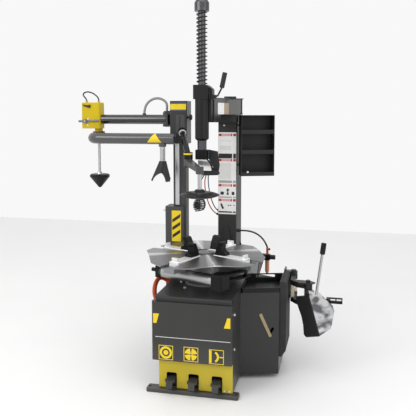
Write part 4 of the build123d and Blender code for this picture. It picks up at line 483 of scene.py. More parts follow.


# places where a part changes its paint or metal, or where a painted highlight begins, mostly heights
JAW_PAD, JAW_REACH = 0.7145, 0.2145
END_BLOCK, END_CAP, END_RING = 0.2137, -0.1505, -0.1355
GRIP_LOW, BAR_X = 0.7115, 0.685
CLAMP_LOW, POST_ROD_Y = 1.2398, 0.3595
CONE_ROD, CLAW_ROD, DISC_ROD = 1.1102, 1.2155, 1.0902
DISC_HUB = (-0.005, -0.100, 0.033)
BUSH = (0.4275, 0.5035)
THIRD_BAND = (1.268, 1.277)
AIR_AXIS = (0.296, 0.540)
BOWL_TOP, BOWL_REACH = 0.5562, 0.0145
GAUGE_LOW, GAUGE_REACH = 0.5922, 0.011
# threshold of crease_wave where the painted highlight line on each petal crease begins
CREASE_HIGHLIGHT = 0.9988


def make_finishes():
    """All finishes, by name."""
    paints = settings().palette
    black, dull_black = (paints.black, 0.0, 0.4), (paints.black, 0.3, 0.42)
    satin_rod = ((0.50, 0.50, 0.51), 1.0, 0.3)
    page = span(past_spine, 0.0)
    return {
        "cabinet": powder_coat("cabinet_coat", paints.dark_grey),
        "rails": powder_coat("rail_coat", (0.045, 0.044, 0.043), 0.42),
        "plate": powder_coat("plate_coat", (0.028, 0.028, 0.0285), 0.36),
        "frame": powder_coat("frame_coat", paints.dark_grey, 0.5, 0.0),
        "cover": powder_coat("cover_coat", (0.055, 0.053, 0.058), 0.42, 0.05),
        "olive": powder_coat("olive_coat", paints.olive, 0.4, 0.2),
        "black_gloss": gloss_paint("tube_enamel", paints.black, 0.16, 1.0),
        "satin_black": powder_coat("housing_coat", paints.black, 0.42, 0.0),
        "grey_gloss": gloss_paint("arm_enamel", paints.darker_grey, 0.2, 0.2),
        "fore_gloss": gloss_paint("fore_enamel", (0.042, 0.042, 0.043), 0.26, 0.7),
        "yellow": zoned("yellow_enamel", (shade(paints.yellow, 0.68), 0.0, 0.42)),
        "bright": brushed_metal("zinc_steel", (0.80, 0.80, 0.81), (6.0, 6.0, 1.0), 0.3),
        "dark_steel": brushed_metal("blued_steel", (0.10, 0.10, 0.105), (1.0, 1.0, 8.0), 0.34),
        "arm_grey": powder_coat("joint_coat", paints.mid_grey, 0.36),
        "cast": cast_metal("hub_iron", (0.24, 0.245, 0.25)),
        "plastic": moulded_plastic("black_moulding"),
        "tray": moulded_plastic("tray_moulding", (0.009, 0.009, 0.0095), 0.36, 420.0),
        "rubber": soft_rubber("black_rubber_skin"),
        "hose": soft_rubber("hose_cover", (0.02, 0.02, 0.021)),
        "orange_hose": moulded_plastic("orange_hose_cover", paints.orange, 0.34, 500.0),
        "red_hose": moulded_plastic("red_line_cover", paints.red, 0.3, 500.0),
        "teal_hose": moulded_plastic("teal_line_cover", (0.03, 0.10, 0.11), 0.3, 500.0),
        "grey_hose": moulded_plastic("grey_hose_cover", (0.22, 0.22, 0.22), 0.36, 500.0),
        "white_film": printed_film("white_film", paints.white),
        "red_film": printed_film("red_film", paints.red),
        "rose_film": printed_film("rose_film", (0.66, 0.38, 0.36)),
        "yellow_film": printed_film("yellow_film", paints.yellow),
        "tan_film": printed_film("tan_film", paints.tan),
        "grey_film": printed_film("grey_film", (0.34, 0.34, 0.35)),
        "dark_film": printed_film("dark_film", (0.012, 0.012, 0.012)),
        "slate_film": printed_film("slate_film", (0.06, 0.07, 0.12)),
        "pale_film": printed_film("pale_film", (0.68, 0.68, 0.67)),
        "slate": zoned("lever_rod", ((0.13, 0.15, 0.24), 0.5, 0.34)),
        "wing": zoned(
            "wing_coat", (paints.dark_grey, 0.0, 0.36),
            (span(off_wing, 0.0006), paints.tan, 0.3, 0.4), coat=0.2),
        # the petals' steel carries painted highlights: a soft bright band along each crease and a brighter
        # line on it
        "petal": zoned(
            "petal_steel_painted_highlights", ((0.25, 0.25, 0.255), 1.0, 0.36), (crease_painted_highlight, (0.66, 0.66, 0.67), 1.0, 0.28),
            (span(crease_wave, CREASE_HIGHLIGHT), (0.9, 0.9, 0.9), 1.0, 0.24)),
        "jaw": zoned(
            "jaw_steel", ((0.90, 0.90, 0.90), 0.65, 0.42),
            (both(span(height, JAW_PAD), round_axis(0.0, 0.0, JAW_REACH)), *dull_black)),
        "cylinder": zoned(
            "cylinder_alloy", ((0.40, 0.40, 0.405), 1.0, 0.4),
            (span(along_cylinder, END_BLOCK), *dull_black),
            (span(along_cylinder, None, END_CAP), *dull_black),
            (span(along_cylinder, END_CAP, END_RING), paints.mid_grey, 0.6, 0.4)),
        "blade": zoned(
            "blade_steel", ((0.03, 0.03, 0.031), 0.6, 0.4), (page, (0.58, 0.58, 0.59), 1.0, 0.2),
            (both(page, smears), (0.13, 0.13, 0.135), 1.0, 0.28), ripple=40.0),
        "handle": zoned(
            "handle_chrome", ((0.45, 0.45, 0.46), 1.0, 0.2),
            (span(height, GRIP_LOW), *black), (span(across, BAR_X), *dull_black)),
        "mount": zoned(
            "mount_metal", ((0.92, 0.92, 0.93), 1.0, 0.18), (span(height, CLAMP_LOW), *dull_black)),
        "post": zoned(
            "post_coat", (paints.mid_grey, 0.0, 0.4),
            (span(depth, None, POST_ROD_Y), (0.52, 0.52, 0.53), 1.0, 0.3)),
        "cone": zoned("cone_parts", black, (span(height, CONE_ROD), *satin_rod)),
        "claw": zoned(
            "claw_parts", ((0.06, 0.06, 0.062), 0.6, 0.36), (span(height, CLAW_ROD), *satin_rod)),
        "disc": zoned(
            "disc_parts", ((0.018, 0.018, 0.0185), 0.5, 0.34),
            (round_axis(*DISC_HUB), *black), (span(height, DISC_ROD), *satin_rod)),
        "boom": zoned(
            "boom_parts", ((0.025, 0.025, 0.026), 0.3, 0.4),
            (span(height, *BUSH), (0.5, 0.45, 0.36), 0.8, 0.3)),
        "third": zoned(
            "third_arm_paint", (paints.black, 0.0, 0.22),
            (span(height, *THIRD_BAND), paints.yellow, 0.0, 0.3)),
        "air": zoned(
            "air_unit_parts", black,
            (both(span(height, None, BOWL_TOP), round_axis(*AIR_AXIS, BOWL_REACH)),
             (0.56, 0.27, 0.17), 0.2, 0.16),
            (both(span(height, GAUGE_LOW), round_axis(*AIR_AXIS, GAUGE_REACH)),
             (0.50, 0.12, 0.03), 0.6, 0.3)),
    }


FINISHED_NODES = {
    "rails": "base_rails", "cabinet": "cabinet front_panel", "olive": "pedal_cover", "wing": "wing",
    "plate": "top_plate pedal_1 pedal_2 pedal_3 arm_cover breaker_bracket carriage", "tray": "tool_tray",
    "cast": "table_hub spindle_bearing gearbox", "petal": "petals", "jaw": "jaw_1 jaw_2 jaw_3 jaw_4",
    "cylinder": "clamp_cylinders", "rubber": "bumper_pad belt_drive", "frame": "motor column column_head",
    "plastic": "storage_bin lock_lever return_spring head_insert regulator_knob glands",
    "grey_gloss": "swing_arm", "satin_black": "shaft_housing", "dark_steel": "tool_shaft",
    "mount": "mount_head", "boom": "breaker_arm", "blade": "breaker_blade", "handle": "blade_handle",
    "post": "assist_post", "cover": "tower_cover", "black_gloss": "upper_arm", "yellow": "control_box",
    "slate": "control_lever", "fore_gloss": "forearm", "cone": "press_cone", "claw": "tri_claw",
    "third": "third_arm", "arm_grey": "disc_arm", "disc": "lens_disc", "air": "air_unit",
    "hose": "air_hose coil_line hose_bundle box_loop_hose", "orange_hose": "wall_hose",
    "red_hose": "red_line", "teal_hose": "teal_line", "grey_hose": "arm_loop_hose",
}
NODE_FINISH = {node: finish for finish, nodes in FINISHED_NODES.items() for node in nodes.split()}


# -------- settings
def length(name, value, about):
    """A length property in metres."""
    return FloatProperty(name=name, default=value, description=about, unit="LENGTH", precision=4)


def tint(name, value, about):
    """A colour property."""
    return FloatVectorProperty(
        name=name, default=value, description=about, subtype="COLOR", min=0.0, max=1.0)


class PaletteSettings(bpy.types.PropertyGroup):
    """Main colours of the paints, covers and films."""

    dark_grey: tint("Dark grey", (0.03, 0.0295, 0.029), "Paint of the cabinet, column and motor")
    darker_grey: tint("Darker grey", (0.02, 0.02, 0.0205), "Enamel of the swing arm")
    mid_grey: tint("Mid grey", (0.055, 0.055, 0.055), "Paint of the joints and the assist post")
    black: tint("Black", (0.004, 0.004, 0.0043), "Enamel of the upper arm and other black metal")
    yellow: tint("Yellow", (0.78, 0.57, 0.002), "Control box, yellow films and plates")
    olive: tint("Olive", (0.48, 0.37, 0.003), "Paint of the pedal cover")
    white: tint("White", (0.8, 0.8, 0.79), "White films and plates")
    red: tint("Red", (0.42, 0.012, 0.01), "Red air line and red films")
    orange: tint("Orange", (0.42, 0.055, 0.014), "Hose on the cabinet's wall")
    tan: tint("Tan", (0.35, 0.27, 0.16), "Wing's slanted face and the arm's tan film")


class ViewSettings(bpy.types.PropertyGroup):
    """Camera place and lens."""

    place: FloatVectorProperty(
        name="Place", default=(0.770, -3.333, 1.513), description="Camera position", unit="LENGTH")
    pitch: FloatProperty(
        name="Pitch", default=math.radians(83.9), description="Tilt from straight down", unit="ROTATION")
    yaw: FloatProperty(
        name="Yaw", default=math.radians(12.69), description="Turn about the vertical", unit="ROTATION")
    lens: FloatProperty(
        name="Lens", default=52.36, description="Focal length in millimetres", unit="CAMERA")
    shift: FloatProperty(name="Shift", default=-0.0738, description="Vertical lens shift")


class CordSettings(bpy.types.PropertyGroup):
    """The air lines and hoses: radii, real lengths and the coil."""

    radius: length("Thin line radius", 0.0035, "Outer radius of the thin air lines")
    air_radius: length("Air hose radius", 0.0055, "Outer radius of the hose to the air unit")
    wall_radius: length("Wall hose radius", 0.0130, "Outer radius of the hose on the cabinet's wall")
    box_radius: length("Box hose radius", 0.0045, "Outer radius of the loop over the control box")
    arm_radius: length("Arm hose radius", 0.0080, "Outer radius of the loop over the upper arm")
    red_length: length("Red line length", 0.430, "Real length of the red line")
    teal_length: length("Teal line length", 0.415, "Real length of the teal line")
    coil_length: length("Coiled line length", 2.250, "Real length of the coiled line with its return")
    air_length: length("Air hose length", 0.225, "Real length of the hose to the air unit")
    wall_length: length("Wall hose length", 0.323, "Real length of the hose on the cabinet's wall")
    box_length: length("Box hose length", 0.196, "Real length of the loop over the control box")
    arm_length: length("Arm hose length", 0.267, "Real length of the loop over the upper arm")
    coil_radius: length("Coil radius", 0.0400, "Centreline radius of the widest turn")
    droop: length("Droop", 0.0040, "Height that each turn falls towards its left")
    inner_radius: length("Inner radius", 0.0250, "Centreline radius of the first and last turn")
    pitch: length("Pitch", 0.0110, "Step from one turn to the next")
    beside: length("Beside", 0.0078, "Offset of the line's return along X and Z")
    turns: IntProperty(name="Turns", default=7, description="Turns of the coil", min=1)


class FastenerSettings(bpy.types.PropertyGroup):
    """Hexagon heads."""

    head: length("Head", 0.0075, "Corner radius of a hexagon head")
    height: length("Height", 0.0055, "Height of a hexagon head")
    washer: length("Washer", 0.0095, "Radius of a washer")


class SpringSettings(bpy.types.PropertyGroup):
    """The shaft's return spring."""

    radius: length("Radius", 0.0289, "Radius of the wire's centreline")
    wire: length("Wire", 0.0036, "Radius of the wire")
    foot: length("Foot", 1.6766, "Height of the wire's lower end")
    top: length("Top", 2.0884, "Height of the wire's upper end")
    turns: IntProperty(name="Turns", default=18, description="Active turns", min=3)
    kept: FloatProperty(name="Kept", default=0.349, description="Share of the length left at full stroke")


class LabelSettings(bpy.types.PropertyGroup):
    """Films and plates without lettering."""

    film: length("Film", 0.0006, "Thickness of a printed film")
    plate: length("Plate", 0.002, "Thickness of the column's plate")


class StageSettings(bpy.types.PropertyGroup):
    """Floor and light."""

    floor: length("Floor", 9.0, "Width of the floor")
    key: FloatProperty(name="Key", default=70.0, description="Power of the key light", unit="POWER")
    fill: FloatProperty(name="Fill", default=24.0, description="Power of the fill light", unit="POWER")
    sky: FloatProperty(name="Sky", default=0.94, description="Strength of the surrounding light")


def group(name, kind):
    """A group of settings, described by its own words."""
    return PointerProperty(type=kind, name=name, description=kind.__doc__.rstrip("."))


class WorkshopSettings(bpy.types.PropertyGroup):
    """All settings of the dresser."""

    palette: group("Palette", PaletteSettings)
    view: group("View", ViewSettings)
    cords: group("Cords", CordSettings)
    fasteners: group("Fasteners", FastenerSettings)
    spring: group("Spring", SpringSettings)
    labels: group("Labels", LabelSettings)
    stage: group("Stage", StageSettings)


def settings():
    """The scene's settings."""
    return bpy.context.scene.workshop


class WorkshopOperator(bpy.types.Operator):
    """Base of the dresser's operators."""

    bl_options = {"REGISTER", "UNDO"}


# -------- camera and cords
class WORKSHOP_OT_camera(WorkshopOperator):
    """Place the camera"""

    bl_idname = "workshop.camera"
    bl_label = "Place the camera"

    def execute(self, context):
        view = settings().view
        data = bpy.data.cameras.new("main_camera")
        data.lens = view.lens
        data.sensor_width = 36.0
        data.shift_y = view.shift
        made = link_object("main_camera", data)
        made.location = view.place
        made.rotation_euler = (view.pitch, 0.0, view.yaw)
        bpy.context.scene.camera = made
        return {"FINISHED"}


# outer ends of the glands on the column's left wall
GLAND_X = -0.044
RED_ROUTE = (
    (GLAND_X, 0.560, 1.176), (-0.066, 0.548, 1.168), (-0.087, 0.524, 1.148), (-0.101, 0.497, 1.119),
    (-0.108, 0.474, 1.083), (-0.106, 0.462, 1.042), (-0.099, 0.458, 1.000), (-0.090, 0.461, 0.958),
    (-0.080, 0.472, 0.918), (-0.066, 0.492, 0.884), (-0.052, 0.518, 0.860), (GLAND_X, 0.545, 0.846),
)
TEAL_ROUTE = (
    (GLAND_X, 0.592, 1.190), (-0.064, 0.582, 1.184), (-0.082, 0.562, 1.164), (-0.092, 0.536, 1.138),
    (-0.094, 0.510, 1.104), (-0.090, 0.494, 1.064), (-0.084, 0.487, 1.022), (-0.076, 0.488, 0.980),
    (-0.067, 0.497, 0.940), (-0.057, 0.514, 0.906), (-0.049, 0.540, 0.882), (GLAND_X, 0.570, 0.868),
)
COIL_ROUTE = (
    (GLAND_X, 0.624, 1.166), (-0.072, 0.612, 1.162), (-0.098, 0.588, 1.150), (-0.120, 0.558, 1.131),
    (-0.138, 0.524, 1.106), (-0.148, 0.491, 1.074), (-0.150, 0.464, 1.038), (-0.146, 0.452, 1.000),
)
COIL_CENTRE = (-0.139, 0.450)
COIL_TOP = 0.956
COIL_START = math.radians(150.0)
COIL_STEPS = 14


def coil_turns(cords):
    """Points of the wound part: turns that hang on end, widest at half height."""
    points = []
    steps = cords.turns * COIL_STEPS
    for step in range(steps + 1):
        angle = COIL_START - math.tau * step / COIL_STEPS
        from_middle = 2 * step / steps - 1
        radius = cords.coil_radius - (cords.coil_radius - cords.inner_radius) * from_middle ** 2
        points.append((
            COIL_CENTRE[0] + radius * math.cos(angle),
            COIL_CENTRE[1] + radius * math.sin(angle),
            COIL_TOP - cords.pitch * step / COIL_STEPS + cords.droop * math.cos(angle),
        ))
    return points


def way_back(cords):
    """The line's return: up through the turns and beside its first run, into the same gland."""
    foot = COIL_TOP - cords.pitch * cords.turns
    rise = [(*COIL_CENTRE, z) for z in (foot - 0.002, foot + 0.030, COIL_TOP - 0.012)]
    beside = [(x + cords.beside, y, z - cords.beside) for x, y, z in reversed(COIL_ROUTE[1:])]
    x, y, z = COIL_ROUTE[0]
    return rise + beside + [(x, y, z - cords.beside)]


AIR_ROUTE = (
    (0.119, 0.540, 0.742), (0.150, 0.541, 0.743), (0.186, 0.540, 0.739), (0.222, 0.541, 0.727),
    (0.253, 0.540, 0.706), (0.276, 0.541, 0.678), (0.290, 0.540, 0.652), (0.296, 0.540, 0.636),
)
WALL_ROUTE = (
    (-0.206, 0.046, 0.508), (-0.236, 0.042, 0.520), (-0.258, 0.028, 0.540), (-0.272, -0.002, 0.548),
    (-0.280, -0.034, 0.538), (-0.284, -0.062, 0.508), (-0.280, -0.078, 0.470), (-0.264, -0.084, 0.434),
    (-0.240, -0.084, 0.408), (-0.206, -0.082, 0.396),
)
BOX_ROUTE = (
    (-0.886, 0.400, 1.589), (-0.893, 0.399, 1.609), (-0.912, 0.400, 1.623), (-0.909, 0.401, 1.641),
    (-0.882, 0.400, 1.650), (-0.850, 0.401, 1.643), (-0.822, 0.400, 1.626), (-0.804, 0.399, 1.608),
    (-0.802, 0.400, 1.589),
)
ARM_ROUTE = (
    (-0.491, 0.400, 1.509), (-0.488, 0.400, 1.536), (-0.477, 0.402, 1.566), (-0.453, 0.402, 1.590),
    (-0.420, 0.400, 1.604), (-0.384, 0.399, 1.604), (-0.353, 0.400, 1.589), (-0.336, 0.401, 1.564),
    (-0.340, 0.400, 1.5236),
)


class WORKSHOP_OT_cords(WorkshopOperator):
    """Lay the air lines and hoses"""

    bl_idname = "workshop.cords"
    bl_label = "Lay the air lines and hoses"

    def lay(self, node, body, finish, radius, route, run, **cord):
        """One smooth line along a route, in place of its packed tube."""
        made = smooth_curve(node + "_cord", route, radius, FINISHES[finish])
        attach(made, body)
        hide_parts(node, *cord.pop("also", ()))

    def execute(self, context):
        cords = settings().cords
        thin, air = cords.radius, cords.air_radius
        coil_route = list(COIL_ROUTE) + coil_turns(cords) + way_back(cords)
        self.lay("red_line", "machine", "red_hose", thin, RED_ROUTE, cords.red_length)
        self.lay("teal_line", "machine", "teal_hose", thin, TEAL_ROUTE, cords.teal_length)
        self.lay("coil_line", "machine", "hose", thin, coil_route, cords.coil_length,
                 lay="coiled", also=("hose_bundle",))
        self.lay("air_hose", "machine", "hose", air, AIR_ROUTE, cords.air_length)
        self.lay("wall_hose", "machine", "orange_hose", cords.wall_radius, WALL_ROUTE, cords.wall_length,
                 stiffness="stiff")
        self.lay("box_loop_hose", "boom", "hose", cords.box_radius, BOX_ROUTE, cords.box_length)
        self.lay("arm_loop_hose", "boom", "grey_hose", cords.arm_radius, ARM_ROUTE, cords.arm_length,
                 stiffness="stiff")
        return {"FINISHED"}


# -------- finishes on the packed nodes
class WORKSHOP_OT_finishes(WorkshopOperator):
    """Give every packed node its finish"""

    bl_idname = "workshop.finishes"
    bl_label = "Finish the packed nodes"

    def execute(self, context):
        FINISHES.update(make_finishes())
        unmatched = set(NODES) ^ set(NODE_FINISH)
        if unmatched:
            raise ValueError(f"node or finish without its match: {sorted(unmatched)}")
        for name, node in NODES.items():
            node.data.materials.clear()
            node.data.materials.append(FINISHES[NODE_FINISH[name]])
        return {"FINISHED"}


# -------- fasteners
WASHER_SIDES, HEAD_SIDES = 24, 6
WASHER_TOP, HEAD_FOOT, EDGE = 0.002, 0.0018, 0.0014
HEAD_TWIST = 0.4
BOLT_ROWS = (
    # body, direction, scale, places
    ("machine", (0, 0, 1), 0.9, (
        (-0.129, -0.038, 0.540), (-0.080, -0.148, 0.540), (0.094, -0.111, 0.540))),
    ("machine", (1, 0, 0), 0.8, ((0.220, -0.253, 0.442), (0.220, -0.251, 0.250))),
    ("machine", (0, -1, 0), 0.6, ((0.177, -0.300, 0.034), (0.204, -0.300, 0.034))),
    ("machine", (0, -1, 0), 0.7, ((0.011, 0.515, 1.431), (0.180, 0.430, 1.140))),
    ("arm", (0, -1, 0), 0.7, ((-0.009, 0.190, 1.570), (-0.009, 0.190, 1.529), (-0.009, 0.190, 1.481))),
    ("boom", (0, -1, 0), 0.6, ((-0.862, 0.358, 1.472), (-0.863, 0.358, 1.432))),
)


def front(y):
    """A seat on a face that looks to the front: X along X, Y up, Z outward."""
    return Matrix(((1, 0, 0, 0), (0, 0, -1, y), (0, 1, 0, 0), (0, 0, 0, 1)))


def rounded_box(low_x, high_x, low_y, high_y, radius, steps=4):
    """A rectangle's outline with rounded corners."""
    points = []
    for corner, (x, y) in enumerate((
        (high_x - radius, high_y - radius), (low_x + radius, high_y - radius),
        (low_x + radius, low_y + radius), (high_x - radius, low_y + radius),
    )):
        for step in range(steps + 1):
            angle = math.radians(90 * corner + 90 * step / steps)
            points.append((x + radius * math.cos(angle), y + radius * math.sin(angle)))
    return points


def ring_sector(x, y, inner, outer, start, end, steps=18):
    """Outline of a part of a ring, angles in degrees."""
    angles = [math.radians(start + (end - start) * step / steps) for step in range(steps + 1)]
    out = [(x + outer * math.cos(a), y + outer * math.sin(a)) for a in angles]
    back = [(x + inner * math.cos(a), y + inner * math.sin(a)) for a in reversed(angles)]
    return out + back


class WORKSHOP_OT_fasteners(WorkshopOperator):
    """Add hexagon heads and washers"""

    bl_idname = "workshop.fasteners"
    bl_label = "Add fasteners"

    def execute(self, context):
        sizes = settings().fasteners
        for number, (body, direction, scale, places) in enumerate(BOLT_ROWS, 1):
            piece = Piece(f"fasteners_{number}").paint(FINISHES["bright"])
            washer, head, top = sizes.washer * scale, sizes.head * scale, sizes.height * scale
            washer_profile = (
                (0, 0), (washer, 0), (washer, EDGE), (washer * 0.94, WASHER_TOP), (0, WASHER_TOP))
            head_profile = (
                (0, HEAD_FOOT), (head, HEAD_FOOT), (head, top), (head * 0.86, top + EDGE), (0, top + EDGE))
            for turn, place in enumerate(places):
                seat = facing(place, direction, HEAD_TWIST * turn)
                piece.lathe(washer_profile, seat, WASHER_SIDES, False)
                piece.lathe(head_profile, seat, HEAD_SIDES, False)
            piece.finish_off(body, "steel")
        return {"FINISHED"}


# -------- films on the column and the front panel
PLATE_FACE = 0.515
PLATE_X = (-0.027, 0.091)
PLATE_Z = (0.852, 1.387)
REDS, DARKS, GREYS = ("red_film", "rose_film"), ("dark_film", "dark_film"), ("grey_film", "grey_film")
PLATE_BANDS = (
    # finishes of the ends and of the middle, low, high
    (REDS, 1.362, 1.378), (DARKS, 1.218, 1.249), (REDS, 1.199, 1.215), (GREYS, 1.058, 1.074),
    (REDS, 1.034, 1.050), (GREYS, 0.960, 0.968), (REDS, 0.937, 0.953), (DARKS, 0.862, 0.871),
)
PLATE_COLUMNS = (
    # which of a band's two finishes, left, right
    (0, -0.025, -0.007), (1, -0.007, 0.056), (0, 0.056, 0.064), (0, 0.071, 0.089),
)
PLATE_FIELDS = (
    (-0.018, 0.056, 1.328, 1.334), (-0.018, 0.056, 1.272, 1.300), (-0.020, 0.058, 1.082, 1.188),
)
PLATE_MARKS = (
    # two blocks beside a pin with a blunt head and broad foot, then a leaning bar and three dashes
    ((-0.012, 0.980), (0.010, 0.980), (0.010, 1.000), (-0.012, 1.000)),
    ((0.062, 0.980), (0.080, 0.980), (0.080, 1.000), (0.062, 1.000)),
    ((0.026, 0.980), (0.046, 0.980), (0.041, 0.990), (0.039, 1.004), (0.047, 1.012), (0.036, 1.022),
     (0.025, 1.012), (0.033, 1.004), (0.031, 0.990)),
    ((0.000, 0.884), (0.012, 0.890), (-0.004, 0.924), (-0.014, 0.918)),
    ((0.036, 0.908), (0.046, 0.908), (0.046, 0.914), (0.036, 0.914)),
    ((0.050, 0.908), (0.060, 0.908), (0.060, 0.914), (0.050, 0.914)),
    ((0.074, 0.908), (0.082, 0.908), (0.082, 0.914), (0.074, 0.914)),
)


class WORKSHOP_OT_column_plate(WorkshopOperator):
    """Add the bare banded plate on the column"""

    bl_idname = "workshop.column_plate"
    bl_label = "Add the column's plate"

    def execute(self, context):
        sizes = settings().labels
        face, film = front(PLATE_FACE - sizes.plate), sizes.film
        piece = Piece("column_plate").paint(FINISHES["white_film"])
        piece.prism(rounded_box(*PLATE_X, *PLATE_Z, 0.004), front(PLATE_FACE), sizes.plate, 0.0005)
        for finishes, low, high in PLATE_BANDS:
            for which, left, right in PLATE_COLUMNS:
                piece.films(finishes[which], face, film, rounded_box(left, right, low, high, 0.0006, 2))
        piece.films("pale_film", face, film, *(rounded_box(*field, 0.002, 2) for field in PLATE_FIELDS))
        piece.films("dark_film", face, film, *PLATE_MARKS)
        piece.finish_off("machine", "aluminium")
        return {"FINISHED"}


PANEL_FACE = -0.320
PANEL_PATCHES = (
    ((-0.211, 0.389), (-0.193, 0.389), (-0.178, 0.442), (-0.211, 0.442)),
    ((0.177, 0.388), (0.211, 0.388), (0.211, 0.444), (0.195, 0.444)),
)
PANEL_LINE = (-0.200, 0.212, 0.3125, 0.3155)
ICON_CENTRES = ((-0.141, 0.229), (-0.002, 0.230), (0.137, 0.228))
ICON_HALF, ICON_EDGE = 0.040, 0.0035
FULL_RING = 359.9


def icon_square(x, y):
    """Outlines of the four sides of a pedal's square."""
    half, inner = ICON_HALF, ICON_HALF - ICON_EDGE
    return [
        rounded_box(*side, 0.0004, 1) for side in (
            (x - half, x + half, y + inner, y + half), (x - half, x + half, y - half, y - inner),
            (x - half, x - inner, y - inner, y + inner), (x + inner, x + half, y - inner, y + inner),
        )]


def wheel_icon(x, y):
    """Outlines of a ring round a disc."""
    return (
        ring_sector(x, y, 0.022, 0.034, 0, FULL_RING, 48),
        ring_sector(x, y, 0.0004, 0.0135, 0, FULL_RING, 32),
    )


def table_icon(x, y):
    """Outlines of four sectors of a disc."""
    return [ring_sector(x, y, 0.004, 0.034, middle - 36, middle + 36) for middle in (45, 135, 225, 315)]


def breaker_icon(x, y):
    """Outlines of a wheel's side between a bar and a wall."""
    inner = ICON_HALF - ICON_EDGE
    return (
        ring_sector(x - 0.020, y, 0.023, 0.034, -62, 62),
        rounded_box(x + 0.016, x + inner, y - 0.003, y + 0.003, 0.001, 2),
        rounded_box(x - inner, x - 0.026, y - 0.034, y + 0.034, 0.001, 2),
    )


class WORKSHOP_OT_panel_films(WorkshopOperator):
    """Add the plain patches and pedal pictograms on the front panel"""

    bl_idname = "workshop.panel_films"
    bl_label = "Add the front panel's films"

    def execute(self, context):
        film, face = settings().labels.film, front(PANEL_FACE)
        piece = Piece("panel_patches").films("yellow_film", face, film, *PANEL_PATCHES)
        piece.films("pale_film", face, film, rounded_box(*PANEL_LINE, 0.001, 2))
        piece.finish_off("machine", "yellow_plastic")
        piece = Piece("pedal_pictograms")
        for centre, icon in zip(ICON_CENTRES, (wheel_icon, table_icon, breaker_icon)):
            piece.films("yellow_film", face, film, *icon_square(*centre), *icon(*centre))
        piece.finish_off("machine", "yellow_plastic")
        return {"FINISHED"}


# -------- plates, films and fittings on the arms
MARGIN = 0.004
CARRIAGE_LEFT, CARRIAGE_RIGHT, CARRIAGE_FRONT = -0.3018, -0.1922, 0.3352
BOX_FRONT = 0.358
BOX_WEDGE = ((-0.898, 1.566), (-0.886, 1.554), (-0.846, 1.542), (-0.841, 1.564), (-0.868, 1.560))
CLAMP = (-0.262, -0.204, 1.383, 1.500)
# sides of a dark film painted as the shade inside the clamp plate's slot
CLAMP_SLOT_SHADE = (-0.241, -0.232)
CLAMP_THICK = 0.004


class WORKSHOP_OT_fitted_plates(WorkshopOperator):
    """Add the control box's connector and the carriage's clamp plate"""

    bl_idname = "workshop.fitted_plates"
    bl_label = "Add the connector and the clamp plate"

    def execute(self, context):
        film = settings().labels.film
        wedge = Piece("box_connector").paint(FINISHES["plastic"])
        wedge.prism(BOX_WEDGE, front(BOX_FRONT), 0.006, 0.0012)
        wedge.finish_off("boom", "black_plastic")
        left, right, low, high = CLAMP
        clamp = Piece("carriage_clamp").paint(FINISHES["arm_grey"])
        clamp.prism(rounded_box(*CLAMP, 0.004), front(CARRIAGE_FRONT), CLAMP_THICK, 0.001)
        # dark films: painted shade in the clamp's slot, and a dark seam line near its foot
        clamp.films(
            "dark_film", front(CARRIAGE_FRONT - CLAMP_THICK), film,
            rounded_box(*CLAMP_SLOT_SHADE, low + 0.006, high - 0.006, 0.002, 2),
            rounded_box(left + MARGIN, right - MARGIN, low + 0.003, low + 0.005, 0.0008, 2))
        clamp.finish_off("lift", "aluminium")
        return {"FINISHED"}


COVER_FRONT = 0.326
ASSIST_PLATE = (-0.290, -0.230, 0.697, 0.895)
STRIPE_FEET = (0.717, 0.767, 0.817)
ARM_SIDE = Vector((0.015, 0.190, 1.524))
ARM_OUT = Vector((0.9785, -0.2061, 0.0))
ARM_TURN = Matrix((
    (-ARM_OUT.y, 0, ARM_OUT.x, 0), (ARM_OUT.x, 0, ARM_OUT.y, 0), (0, 1, 0, 0), (0, 0, 0, 1)))
FOREARM_MIDDLE = Vector((-0.3685, 0.250, 1.352))
FOREARM_RADIUS = 0.034
PATCH_START, PATCH_END = math.radians(-38.0), math.radians(74.0)
PATCH_NARROW, PATCH_SPREAD = 0.004, 0.042
PATCH_STEPS = 14


def patch_half(angle):
    """Half the width of the forearm's patch at an angle up from its front."""
    share = (math.sin(PATCH_END) - math.sin(angle)) / (math.sin(PATCH_END) - math.sin(PATCH_START))
    return PATCH_SPREAD * share + PATCH_NARROW


